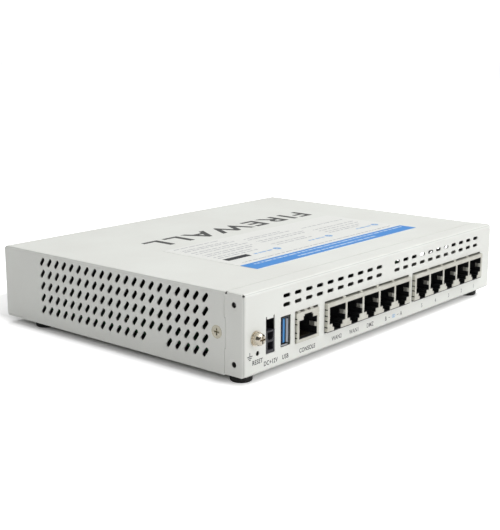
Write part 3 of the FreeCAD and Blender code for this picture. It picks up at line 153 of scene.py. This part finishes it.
# Print on the label, in plan. Rows of bars stand for its lines of words: a row's bars and gaps have
# random lengths within limits, and a column's row may start late by up to a share of its width.
# Columns are listed from the +X side.
WORD_LENGTH = mm(1.6, 6.0)
WORD_GAP = mm(0.7, 1.1)
BAND_Y = mm(40.55, 51.05)
BAND_ROWS = ((mm(-35.0, 32.0), 47.6 * MM), (mm(-68.0, 60.0), 43.3 * MM))
BAND_TEXT_H = 1.2 * MM
BAND_SEED = 5
TEXT_H = 0.75 * MM
TEXT_SEED = 7
INTRO_X = mm(-66.0, 61.0)
INTRO_Y = 37.2 * MM
COLUMNS_X = (mm(22.0, 62.0), mm(-22.0, 18.0), mm(-66.0, -27.0))
COLUMNS_ROWS_Y = (
    mm(22.5, 19.5, 15.5, 12.6, 8.0, 5.0, 0.5, -2.0, -7.0),
    mm(22.4, 19.4, 12.5, 9.6, 4.0, 1.0),
    mm(23.5, 20.5, 16.5, 12.5, 4.5),
)
LATE_START = 0.3
HEADING_Y = 28.5 * MM
HEADING_H = 1.3 * MM
HEADING_DX = mm(4.0, 18.0)
HEADING_SEED = 11
ICON_X = mm(24.5, -19.5, -63.5)
ICON_R = mm(2.2, 0.5)
BLOCK_X = mm(45.5, 62.5)
BLOCK_Y = mm(25.6, 29.8)

# Looks. Noise mostly stays within NOISE_SPAN. A grain is a stretch along x, y and z.
NOISE_SPAN = (0.3, 0.7)
EVEN_GRAIN = (1, 1, 1)
SCREW_GRAIN = (1, 6, 1)
SHEET_GRAIN = (0.15, 1, 1)
SINK_GRAIN = (1, 0.1, 1)
PLATING_DEPTH = 0.004 * MM
MOULDING_DEPTH = 0.006 * MM
MOULDING_GRAIN = 2600
PLASTIC_IOR = 1.49

# Where the USB shell gets its painted highlight, a lit strip on its -X wall and floor just behind the
# mouth, measured in from its mouth, walls and floor; the rest of the shell is painted shade. Each limit
# is a pair of distances between which the change runs.
LIT_STRIP_FRONT = mm(0.0, 0.2)
LIT_STRIP_BACK = mm(1.25, 1.45)
LIT_STRIP_WALL = mm(0.4, 0.6)
LIT_STRIP_LOW = mm(1.0, 1.2)
LIT_STRIP_HIGH = mm(1.1, 1.3)
# Painted shade on the USB tongue fades out over this distance from its contacts.
TONGUE_SHADE = mm(0.2, 0.6)


# ---------------------------------------------------------------- colours and shader nodes
def srgb(red, green, blue):
    """Linear colour from 0-255 display values."""
    channels = []
    for value in (red, green, blue):
        share = value / 255
        channels.append(share / 12.92 if share <= 0.04045 else ((share + 0.055) / 1.055) ** 2.4)
    return (*channels, 1.0)


class Shader:
    """One node-based material with a Principled surface, and short ways to add nodes to it."""

    def __init__(self, name, **surface):
        self.material = bpy.data.materials.new(name)
        self.material.use_nodes = True
        self.tree = self.material.node_tree
        self.tree.nodes.clear()
        output = self.add("ShaderNodeOutputMaterial")
        self.surface = self.add("ShaderNodeBsdfPrincipled")
        self.tree.links.new(self.surface.outputs[0], output.inputs["Surface"])
        self.where = self.add("ShaderNodeTexCoord").outputs["Object"]
        for key, value in surface.items():
            self.set(key.replace("_", " "), value)

    def add(self, kind, **settings):
        """New node with some of its properties set."""
        node = self.tree.nodes.new(kind)
        for key, value in settings.items():
            setattr(node, key, value)
        return node

    def feed(self, socket, value):
        """Links a socket, or sets a plain value."""
        if isinstance(value, bpy.types.NodeSocket):
            self.tree.links.new(value, socket)
        else:
            socket.default_value = value

    def set(self, name, value):
        """Sets or links one input of the surface."""
        self.feed(self.surface.inputs[name], value)

    def place(self):
        """X, Y and Z of the shaded point."""
        node = self.add("ShaderNodeSeparateXYZ")
        self.feed(node.inputs[0], self.where)
        return node.outputs["X"], node.outputs["Y"], node.outputs["Z"]

    def stretched(self, grain):
        """Object coordinates, scaled along each axis."""
        mapping = self.add("ShaderNodeMapping")
        self.feed(mapping.inputs["Vector"], self.where)
        self.feed(mapping.inputs["Scale"], grain)
        return mapping.outputs[0]

    def noise(self, scale, detail=2, where=None):
        """Noise from 0 to 1. Scale is in features per metre."""
        node = self.add("ShaderNodeTexNoise")
        self.feed(node.inputs["Vector"], where if where is not None else self.where)
        self.feed(node.inputs["Scale"], scale)
        self.feed(node.inputs["Detail"], detail)
        return node.outputs["Fac"]

    def cells(self, scale):
        """Distance to the nearest of scattered points, from 0 at each point."""
        node = self.add("ShaderNodeTexVoronoi")
        self.feed(node.inputs["Vector"], self.where)
        self.feed(node.inputs["Scale"], scale)
        return node.outputs["Distance"]

    def span(self, value, low, high, to_low=0.0, to_high=1.0):
        """Value mapped from low..high to to_low..to_high, and held there."""
        node = self.add("ShaderNodeMapRange")
        for name, given in (("Value", value), ("From Min", low), ("From Max", high),
                            ("To Min", to_low), ("To Max", to_high)):
            self.feed(node.inputs[name], given)
        return node.outputs["Result"]

    def maths(self, operation, first, second=0.0):
        """One arithmetic node."""
        node = self.add("ShaderNodeMath", operation=operation)
        self.feed(node.inputs[0], first)
        self.feed(node.inputs[1], second)
        return node.outputs[0]

    def product(self, *shares):
        """All of some shares multiplied."""
        result = shares[0]
        for share in shares[1:]:
            result = self.maths("MULTIPLY", result, share)
        return result

    def blend(self, share, first, second):
        """Colour between two colours."""
        node = self.add("ShaderNodeMix", data_type="RGBA")
        self.feed(node.inputs["Factor"], share)
        self.feed(node.inputs["A"], first)
        self.feed(node.inputs["B"], second)
        return node.outputs["Result"]

    def patches(self, first, second, scale, detail=3, low=0.3, high=0.75, most=1.0):
        """First colour with patches of the second, where the noise passes from low to high."""
        share = self.span(self.noise(scale, detail), low, high, 0.0, most)
        return self.blend(share, first, second)

    def roughen(self, low, high, scale, detail=2):
        """Roughness that wanders between two values."""
        self.set("Roughness", self.span(self.noise(scale, detail), *NOISE_SPAN, low, high))

    def bump(self, height, depth):
        """Drives the surface's normal by a height from 0 to 1, depth metres deep."""
        node = self.add("ShaderNodeBump")
        self.feed(node.inputs["Height"], height)
        self.feed(node.inputs["Distance"], depth)
        self.feed(node.inputs["Strength"], 1.0)
        self.set("Normal", node.outputs["Normal"])


# ---------------------------------------------------------------- materials
def inside_share(shader):
    """1 on faces inside the sheet-metal case and 0 outside it, changing within the sheet."""
    x, y, z = shader.place()
    depths = (
        shader.maths("SUBTRACT", HALF_W, shader.maths("ABSOLUTE", x)),
        shader.maths("SUBTRACT", REAR_Y, y),
        shader.maths("SUBTRACT", y, FRONT_Y),
        shader.maths("SUBTRACT", TOP_Z, z),
        shader.maths("SUBTRACT", z, FLOOR_Z),
    )
    return shader.product(*(shader.span(depth, PAINT_DEPTH, BARE_AND_SHADE_DEPTH) for depth in depths))


def powder_paint():
    """Fine white powder coat outside; bare zinc inside, darkened as painted shade."""
    shader = Shader("powder_paint", IOR=1.5)
    specks = shader.noise(scale=2600, detail=1)
    white = shader.patches(srgb(229, 230, 225), srgb(233, 235, 230), scale=24, low=0.35, high=0.65)
    white = shader.blend(shader.span(specks, 0.3, 0.75, 0.0, 0.05), white, srgb(150, 150, 146))
    # Inside faces: bare zinc pushed dark as painted shade, so the inside of the case looks dark through
    # its holes.
    shader.set("Base Color", shader.blend(inside_share(shader), white, srgb(66, 66, 64)))
    shader.roughen(0.42, 0.52, scale=900)
    peel = shader.maths("ADD", shader.noise(scale=1300, detail=1), shader.maths("MULTIPLY", specks, 0.3))
    shader.bump(peel, 0.012 * MM)
    return shader.material


def rubber():
    """Matt black rubber with a dusty bloom."""
    shader = Shader("black_rubber", Roughness=0.72)
    shader.set("Base Color", shader.patches(srgb(20, 20, 20), srgb(38, 38, 37), scale=500, low=0.4))
    shader.bump(shader.noise(scale=3000), 0.02 * MM)
    return shader.material


def plated(name, colour, tint, rough, grain=EVEN_GRAIN, metal=1.0):
    """Plated metal: two close tones, uneven gloss and a fine grain that can be stretched."""
    shader = Shader(name, Metallic=metal)
    shader.set("Base Color", shader.patches(colour, tint, scale=160, low=0.35, high=0.7))
    brushed = shader.noise(scale=900, where=shader.stretched(grain))
    shader.set("Roughness", shader.span(brushed, *NOISE_SPAN, rough * 0.8, rough * 1.25))
    shader.bump(brushed, PLATING_DEPTH)
    return shader.material


def socket_sheet():
    """Satin nickel sheet of the socket shields, rolled along x and less mirror-like than the rest."""
    colours = (srgb(210, 209, 200), srgb(197, 195, 185))
    return plated("satin_nickel_sheet", *colours, 0.42, SHEET_GRAIN, metal=0.7)


def moulded(name, colour, sheen_colour, rough):
    """Injection-moulded plastic with a fine spark-eroded grain."""
    shader = Shader(name, IOR=PLASTIC_IOR)
    shader.set("Base Color", shader.patches(colour, sheen_colour, scale=260, detail=2))
    shader.roughen(rough * 0.85, rough * 1.15, scale=800)
    shader.bump(shader.cells(MOULDING_GRAIN), MOULDING_DEPTH)
    return shader.material


def usb_shell_painted_light():
    """Tinned sheet of the USB shell in dark painted shade, with a painted highlight strip on its -X wall
    and floor just behind its mouth.
    """
    shader = Shader("usb_shell_painted_light")
    low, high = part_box("usb_shell")
    x, y, z = shader.place()
    behind_mouth = shader.maths("SUBTRACT", high.y, y)
    from_wall = shader.maths("SUBTRACT", x, low.x)
    from_floor = shader.maths("SUBTRACT", z, low.z)
    from_roof = shader.maths("SUBTRACT", high.z, z)
    wall = shader.product(
        shader.span(from_wall, *LIT_STRIP_WALL, 1.0, 0.0),
        shader.span(from_floor, *LIT_STRIP_LOW),
        shader.span(from_roof, *LIT_STRIP_HIGH),
    )
    floor = shader.span(from_floor, *LIT_STRIP_WALL, 1.0, 0.0)
    painted_lit = shader.product(
        shader.span(behind_mouth, *LIT_STRIP_FRONT),
        shader.span(behind_mouth, *LIT_STRIP_BACK, 1.0, 0.0),
        shader.maths("MAXIMUM", wall, floor),
    )
    # Painted shade (dark grey) off the strip and painted highlight (near white, without metal sheen) on
    # it.
    shader.set("Base Color", shader.blend(painted_lit, srgb(70, 71, 73), srgb(250, 249, 247)))
    shader.set("Metallic", shader.span(painted_lit, 0.0, 1.0, 0.5, 0.0))
    shader.roughen(0.3, 0.45, scale=900)
    shader.bump(shader.noise(scale=900), PLATING_DEPTH)
    return shader.material


def tongue_moulding():
    """Blue plastic of the USB tongue, with painted shade (dark blue) along the side that holds its
    contacts.
    """
    shader = Shader("blue_moulding", IOR=PLASTIC_IOR)
    x, _, _ = shader.place()
    from_contacts = shader.maths("SUBTRACT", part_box("usb_contacts")[0].x, x)
    side = shader.span(from_contacts, *TONGUE_SHADE, 1.0, 0.0)
    face = shader.patches(srgb(52, 134, 200), srgb(64, 146, 210), scale=260, detail=2)
    # Painted shade: the contact side and the nearby edge of the front face turn dark blue.
    shader.set("Base Color", shader.blend(side, face, srgb(20, 52, 92)))
    shader.roughen(0.3, 0.4, scale=800)
    shader.bump(shader.cells(MOULDING_GRAIN), MOULDING_DEPTH)
    return shader.material


def laminate():
    """Green circuit board: solder mask over faint copper tracks."""
    shader = Shader("board_laminate", IOR=1.5)
    rows = {"offset": 0.37, "offset_frequency": 3, "squash": 1.6, "squash_frequency": 2}
    tracks = shader.add("ShaderNodeTexBrick", **rows)
    inputs = {
        "Vector": shader.where,
        "Scale": 90.0,
        "Mortar Size": 0.035,
        "Color1": srgb(18, 70, 40),
        "Color2": srgb(15, 62, 35),
        "Mortar": srgb(44, 104, 62),
    }
    for name, value in inputs.items():
        shader.feed(tracks.inputs[name], value)
    shader.set("Base Color", tracks.outputs["Color"])
    shader.roughen(0.3, 0.45, scale=400)
    shader.bump(tracks.outputs["Fac"], 0.02 * MM)
    return shader.material


def acrylic():
    """Clear moulded light pipe."""
    shader = Shader("clear_acrylic", IOR=PLASTIC_IOR, Transmission_Weight=0.9)
    haze = shader.span(shader.noise(scale=700), 0.3, 0.8)
    shader.set("Base Color", shader.blend(haze, srgb(240, 244, 246), srgb(226, 232, 234)))
    shader.set("Roughness", shader.span(haze, 0.0, 1.0, 0.06, 0.16))
    return shader.material


def film(name, colour, fleck, rough):
    """Smooth label film with a faint paper fleck."""
    shader = Shader(name, IOR=1.46)
    shader.set("Base Color", shader.patches(colour, fleck, scale=1500, high=0.8, most=0.5))
    shader.roughen(rough * 0.85, rough * 1.15, scale=300)
    shader.bump(shader.noise(scale=250), 0.01 * MM)
    return shader.material


def ink(name, colour, pale, rough=0.5):
    """Screen-printed ink, a touch uneven."""
    shader = Shader(name)
    shader.set("Base Color", shader.patches(colour, pale, scale=1800, low=0.35, high=0.85))
    shader.roughen(rough * 0.9, rough * 1.1, scale=900)
    return shader.material


slot_materials = {
    "case_paint": powder_paint(),
    "foot_rubber": rubber(),
    "nickel_screw": plated("warm_nickel", srgb(218, 212, 200), srgb(196, 187, 170), 0.15, SCREW_GRAIN),
    "zinc_steel": plated("zinc_steel", srgb(176, 178, 178), srgb(158, 160, 162), 0.34),
    "socket_shield": socket_sheet(),
    "black_moulding": moulded("black_moulding", srgb(24, 25, 26), srgb(34, 35, 36), 0.34),
    "inlet_moulding": moulded("dark_grey_moulding", srgb(38, 38, 44), srgb(48, 48, 53), 0.4),
    "usb_blue": tongue_moulding(),
    "gold_contact": plated("gold_flash", srgb(206, 176, 124), srgb(190, 156, 100), 0.3),
    "contact_wire": plated("dull_gold_wire", srgb(120, 112, 96), srgb(104, 94, 76), 0.4),
    "board_laminate": laminate(),
    "chip_epoxy": moulded("chip_epoxy", srgb(30, 30, 31), srgb(40, 40, 41), 0.6),
    "aluminium_sink": plated("black_anodised", srgb(44, 44, 46), srgb(54, 54, 57), 0.45, SINK_GRAIN),
    "bare_aluminium": plated("bare_aluminium", srgb(206, 207, 209), srgb(190, 192, 195), 0.3),
    "pad_silicone": moulded("pad_silicone", srgb(150, 160, 178), srgb(160, 170, 186), 0.75),
    "cell_steel": plated("cell_steel", srgb(210, 209, 205), srgb(196, 195, 192), 0.26),
    "clear_acrylic": acrylic(),
    "light_body": moulded("light_body", srgb(226, 226, 206), srgb(236, 236, 220), 0.25),
    "label_film": film("label_film", srgb(236, 237, 233), srgb(232, 233, 230), 0.44),
    "rating_label": film("rating_label", srgb(208, 209, 206), srgb(218, 219, 216), 0.4),
}

# Nodes that look different from the rest of their slot.
node_materials = {
    "cover_screws": plated("dull_nickel", srgb(194, 190, 175), srgb(168, 163, 147), 0.3),
    # The USB shell carries painted shade and a painted highlight strip.
    "usb_shell": usb_shell_painted_light(),
    "usb_contacts": plated("bright_gold", srgb(226, 150, 92), srgb(210, 134, 78), 0.3),
}

for subpart in frame["record"]["subparts"]:
    piece = nodes[subpart["node"]]
    slot_material = slot_materials[subpart["material_slot"]]
    piece.data.materials.clear()
    piece.data.materials.append(node_materials.get(subpart["node"], slot_material))


# ---------------------------------------------------------------- raised ink
def rear_place(x, z):
    """Frame on the rear panel: x to a reader's right, y up, z out of the panel."""
    turn = Matrix(((-1, 0, 0), (0, 0, 1), (0, 1, 0))).to_4x4()
    return Matrix.Translation((x, REAR_Y, z)) @ turn


def label_place(x=0.0, y=0.0):
    """Frame on the label film, read from the front."""
    return Matrix.Translation((x, y, label_high.z))


def add_bar(mesh, place, x_span, y_span):
    """Adds one flat bar of ink."""
    x_low, x_high = x_span
    y_low, y_high = y_span
    middle = Vector(((x_low + x_high) / 2, (y_low + y_high) / 2, (INK_T - INK_SINK) / 2))
    size = Matrix.Diagonal((x_high - x_low, y_high - y_low, INK_T + INK_SINK, 1))
    bmesh.ops.create_cube(mesh, size=1.0, matrix=place @ Matrix.Translation(middle) @ size)


def add_ring(mesh, place, outer, inner):
    """Adds a flat ring of ink."""
    rows = []
    for radius in (outer, inner):
        for height in (-INK_SINK, INK_T):
            row = []
            for step in range(RING_SIDES):
                angle = step / RING_SIDES * math.tau
                point = Vector((radius * math.cos(angle), radius * math.sin(angle), height))
                row.append(mesh.verts.new(place @ point))
            rows.append(row)
    outer_low, outer_top, inner_low, inner_top = rows
    for step in range(RING_SIDES):
        after = (step + 1) % RING_SIDES
        for first, second in ((outer_low, outer_top), (outer_top, inner_top), (inner_top, inner_low),
                              (inner_low, outer_low)):
            mesh.faces.new((first[step], first[after], second[after], second[step]))


def lettering_mesh(text, weight, spacing):
    """Solid lettering of size 1, one unit thick, as a temporary mesh. Weight thickens its strokes."""
    curve = bpy.data.curves.new("lettering", "FONT")
    curve.body = text
    curve.extrude = 1 / 2
    curve.offset = weight
    curve.space_character = spacing
    curve.resolution_u = LETTER_CURVE_STEPS
    holder = bpy.data.objects.new("lettering", curve)
    bpy.context.scene.collection.objects.link(holder)
    graph = bpy.context.evaluated_depsgraph_get()
    mesh = bpy.data.meshes.new_from_object(holder.evaluated_get(graph))
    bpy.data.objects.remove(holder)
    bpy.data.curves.remove(curve)
    return mesh


def add_lettering(target, place, text, cap, weight, spacing, width=None, squeeze=1.0):
    """Adds a centred line of lettering, its capitals cap high, at a given width or squeezed by a share."""
    mesh = lettering_mesh(text, weight, spacing)
    xs = [vertex.co.x for vertex in mesh.vertices]
    ys = [vertex.co.y for vertex in mesh.vertices]
    scale_y = cap / (max(ys) - min(ys))
    scale_x = width / (max(xs) - min(xs)) if width else scale_y * squeeze
    centre = Matrix.Translation((-(max(xs) + min(xs)) / 2, -(max(ys) + min(ys)) / 2, 0))
    size = Matrix.Diagonal((scale_x, scale_y, INK_T + INK_SINK, 1))
    lift = Matrix.Translation((0, 0, (INK_T - INK_SINK) / 2))
    mesh.transform(place @ lift @ size @ centre)
    target.from_mesh(mesh)
    bpy.data.meshes.remove(mesh)


def add_words(mesh, place, x_span, y, height, chance):
    """Adds a row of short bars like a line of words."""
    x, x_end = x_span
    while x < x_end:
        end = min(x + chance.uniform(*WORD_LENGTH), x_end)
        add_bar(mesh, place, (x, end), (y - height / 2, y + height / 2))
        x = end + chance.uniform(*WORD_GAP)


def make_piece(name, mesh, material):
    """Turns a bmesh into a named piece that rides on the case and takes the given finish."""
    bmesh.ops.remove_doubles(mesh, verts=mesh.verts, dist=INK_WELD)
    bmesh.ops.recalc_face_normals(mesh, faces=mesh.faces)
    data = bpy.data.meshes.new(name)
    mesh.to_mesh(data)
    mesh.free()
    data.materials.append(material)
    piece = bpy.data.objects.new(name, data)
    bpy.context.scene.collection.objects.link(piece)
    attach(piece, "case")


# ---------------------------------------------------------------- print on the case
def middle_x(node):
    """X of a node's middle."""
    low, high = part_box(node)
    return (low.x + high.x) / 2


def port_x(bank, index):
    """X of one port's middle, counted from the +X end of its bank."""
    return middle_x(f"port_bank_{bank}_shield") + ((PORTS_PER_BANK - 1) / 2 - index) * PORT_PITCH


def link_x():
    """X of the sign between the linked ports of the first bank."""
    first, second = LINKED_PORTS
    return (port_x(1, first) + port_x(1, second)) / 2 + BANK_LEGEND_SHIFT[1]


def add_earth_sign(mesh, place, size):
    """Earth sign: a stem down to bars, each shorter than the one above."""
    line = EARTH_LINE * size
    stem_low, stem_high = EARTH_STEM
    add_bar(mesh, place, (-line / 2, line / 2), (stem_low * size, stem_high * size))
    for step in range(EARTH_BARS):
        half = (EARTH_BAR_HALF - EARTH_BAR_SHRINK * step) * size
        top = (stem_low - EARTH_BAR_DROP * step) * size
        add_bar(mesh, place, (-half, half), (top - line, top))


def socket_legends():
    """Generic legends of the single sockets, the reset button and the earth screw."""
    mesh = bmesh.new()
    for word, node, shift, z in SOCKET_WORDS:
        add_lettering(mesh, rear_place(middle_x(node) + shift, z), word, LEGEND_CAP, **LEGEND_STYLE)
    earth_x = middle_x("ground_screw") + EARTH_SIGN_DX
    add_earth_sign(mesh, rear_place(earth_x, EARTH_SIGN_Z), EARTH_SIGN_SIZE)
    legend_ink = ink("legend_ink", srgb(62, 62, 64), srgb(80, 80, 82))
    make_piece("socket_legends", mesh, legend_ink)


def bank_legends(bank, material):
    """Fine legends under the ports of one bank, with dashes beside the first bank's link sign."""
    mesh = bmesh.new()
    for index, word in enumerate(BANK_LEGENDS[bank]):
        x = port_x(bank, index) + BANK_LEGEND_SHIFT[bank]
        add_lettering(mesh, rear_place(x, LEGEND_Z), word, LEGEND_CAP, **FINE_STYLE)
    if bank == 1:
        length, height = LINK_DASH
        for side in (-1, 1):
            dash = rear_place(link_x() + side * LINK_DASH_DX, LEGEND_Z)
            add_bar(mesh, dash, (-length / 2, length / 2), (-height / 2, height / 2))
    make_piece(f"bank_{bank}_legends", mesh, material)


def link_sign():
    """Small blue sign between the two linked ports: two rings side by side."""
    mesh = bmesh.new()
    for side in (-1, 1):
        add_ring(mesh, rear_place(link_x() + side * LINK_RING_DX, LEGEND_Z), *LINK_RING_R)
    link_ink = ink("link_ink", srgb(150, 188, 224), srgb(164, 198, 230))
    make_piece("link_sign", mesh, link_ink)


def title():
    """Generic wording on the top, read from the front."""
    mesh = bmesh.new()
    left, right = TITLE_X
    place = Matrix.Translation(((left + right) / 2, TITLE_Y + TITLE_CAP / 2, TOP_Z))
    add_lettering(mesh, place, TITLE, TITLE_CAP, width=right - left, **TITLE_STYLE)
    title_ink = ink("title_ink", srgb(80, 81, 80), srgb(94, 95, 94))
    make_piece("title_lettering", mesh, title_ink)


# ---------------------------------------------------------------- print on the label
def label_band():
    """Blue band along the rear edge of the label."""
    mesh = bmesh.new()
    add_bar(mesh, label_place(), (label_low.x, label_high.x), BAND_Y)
    band_ink = ink("band_ink", srgb(84, 150, 222), srgb(92, 156, 226), 0.4)
    make_piece("label_band", mesh, band_ink)


def label_band_text():
    """Two rows of pale bars on the blue band."""
    chance = random.Random(BAND_SEED)
    mesh = bmesh.new()
    on_band = Matrix.Translation((0, 0, INK_T)) @ label_place()
    for x_span, y in BAND_ROWS:
        add_words(mesh, on_band, x_span, y, BAND_TEXT_H, chance)
    band_text_ink = ink("band_text_ink", srgb(196, 216, 238), srgb(206, 224, 242))
    make_piece("label_band_text", mesh, band_text_ink)


def label_text():
    """Rows of grey bars that stand for the label's small print."""
    chance = random.Random(TEXT_SEED)
    mesh = bmesh.new()
    add_words(mesh, label_place(), INTRO_X, INTRO_Y, TEXT_H, chance)
    for (left, right), rows_y in zip(COLUMNS_X, COLUMNS_ROWS_Y):
        for y in rows_y:
            late = chance.uniform(0.0, LATE_START) * (right - left)
            add_words(mesh, label_place(), (left + late, right), y, TEXT_H, chance)
    text_ink = ink("text_ink", srgb(172, 174, 178), srgb(186, 188, 190))
    make_piece("label_text", mesh, text_ink)


def label_headings():
    """Blue heading bars and round icons of the label's three columns."""
    chance = random.Random(HEADING_SEED)
    mesh = bmesh.new()
    start, end = HEADING_DX
    for x in ICON_X:
        add_ring(mesh, label_place(x, HEADING_Y), *ICON_R)
        add_words(mesh, label_place(), (x + start, x + end), HEADING_Y, HEADING_H, chance)
    heading_ink = ink("heading_ink", srgb(132, 172, 216), srgb(150, 184, 220))
    make_piece("label_headings", mesh, heading_ink)


def label_block():
    """Dark block at the head of the label's +X column."""
    mesh = bmesh.new()
    add_bar(mesh, label_place(), BLOCK_X, BLOCK_Y)
    make_piece("label_block", mesh, ink("block_ink", srgb(52, 54, 56), srgb(66, 68, 70)))


socket_legends()
bank_legends(1, ink("fine_ink", srgb(82, 82, 84), srgb(98, 98, 100)))
bank_legends(2, ink("faint_ink", srgb(136, 136, 138), srgb(150, 150, 152)))
link_sign()
title()
label_band()
label_band_text()
label_text()
label_headings()
label_block()


# ---------------------------------------------------------------- camera, floor and light
def make_camera():
    """Camera that looks down on the rear right corner."""
    data = bpy.data.cameras.new("camera")
    data.lens = CAMERA_LENS_MM
    data.sensor_width = CAMERA_SENSOR_MM
    data.sensor_fit = "AUTO"
    camera = bpy.data.objects.new("camera", data)
    level = math.cos(CAMERA_ELEVATION)
    back = Vector((
        math.sin(CAMERA_AZIMUTH) * level,
        -math.cos(CAMERA_AZIMUTH) * level,
        math.sin(CAMERA_ELEVATION),
    ))
    camera.location = CAMERA_TARGET + back * CAMERA_DISTANCE
    turn = (-back).to_track_quat("-Z", "Y").to_matrix() @ Matrix.Rotation(CAMERA_ROLL, 3, "Z")
    camera.rotation_euler = turn.to_euler()
    bpy.context.scene.collection.objects.link(camera)
    bpy.context.scene.camera = camera


def glow_reach(shader):
    """Distance on the floor from the rectangle in which it doesn't glow."""
    x, y, _ = shader.place()
    front = FRONT_Y - SHADOW_REACH
    rear = REAR_Y - REAR_GLOW_INSET
    from_middle = shader.maths("ABSOLUTE", shader.maths("SUBTRACT", y, (front + rear) / 2))
    past_end = shader.maths("MAXIMUM", shader.maths("SUBTRACT", from_middle, (rear - front) / 2), 0.0)
    side = shader.maths("SUBTRACT", shader.maths("ABSOLUTE", x), HALF_W - GLOW_INSET)
    past_side = shader.maths("MAXIMUM", side, 0.0)
    squares = [shader.maths("POWER", past, 2.0) for past in (past_side, past_end)]
    return shader.maths("SQRT", shader.maths("ADD", *squares))


def floor_material():
    """Pale matt floor with a glow that only the camera sees."""
    shader = Shader("pale_floor", Roughness=0.9)
    tones = (srgb(244, 244, 244), srgb(247, 247, 247))
    shader.set("Base Color", shader.patches(*tones, scale=30, detail=2, high=0.7))
    reach = glow_reach(shader)
    # Near glow: painted light that narrows the case's contact shadow on the floor.
    near = shader.span(reach, *NEAR_GLOW_R, *NEAR_GLOW)
    far = shader.span(reach, *FAR_GLOW_R, *FAR_GLOW)
    seen = shader.add("ShaderNodeLightPath").outputs["Is Camera Ray"]
    shader.set("Emission Color", WHITE)
    shader.set("Emission Strength", shader.maths("MULTIPLY", shader.maths("ADD", near, far), seen))
    return shader.material


def make_floor():
    """Wide round floor."""
    mesh = bmesh.new()
    bmesh.ops.create_circle(mesh, cap_ends=True, segments=FLOOR_SIDES, radius=FLOOR_R)
    data = bpy.data.meshes.new("floor")
    mesh.to_mesh(data)
    mesh.free()
    data.materials.append(floor_material())
    floor = bpy.data.objects.new("floor", data)
    bpy.context.scene.collection.objects.link(floor)


def make_area(name, place, target, size, watts):
    """Square soft light that points at a target and isn't seen itself."""
    data = bpy.data.lights.new(name, "AREA")
    data.size = size
    data.energy = watts
    light = bpy.data.objects.new(name, data)
    light.location = place
    light.rotation_euler = (Vector(target) - Vector(place)).to_track_quat("-Z", "Y").to_euler()
    light.visible_camera = False
    bpy.context.scene.collection.objects.link(light)


def make_world():
    """White backdrop that lights the scene more softly than it shows."""
    world = bpy.data.worlds.new("studio")
    world.use_nodes = True
    tree = world.node_tree
    tree.nodes.clear()
    output = tree.nodes.new("ShaderNodeOutputWorld")
    mix = tree.nodes.new("ShaderNodeMixShader")
    seen = tree.nodes.new("ShaderNodeLightPath")
    tree.links.new(seen.outputs["Is Camera Ray"], mix.inputs[0])
    for socket, strength, colour in ((1, WORLD_FILL, WORLD_FILL_COLOUR), (2, BACKDROP, WHITE)):
        background = tree.nodes.new("ShaderNodeBackground")
        background.inputs["Strength"].default_value = strength
        background.inputs["Color"].default_value = colour
        tree.links.new(background.outputs[0], mix.inputs[socket])
    tree.links.new(mix.outputs[0], output.inputs["Surface"])
    bpy.context.scene.world = world


make_camera()
make_floor()
make_world()
for light in LIGHTS:
    make_area(*light)
bpy.context.scene.view_settings.view_transform = "Standard"
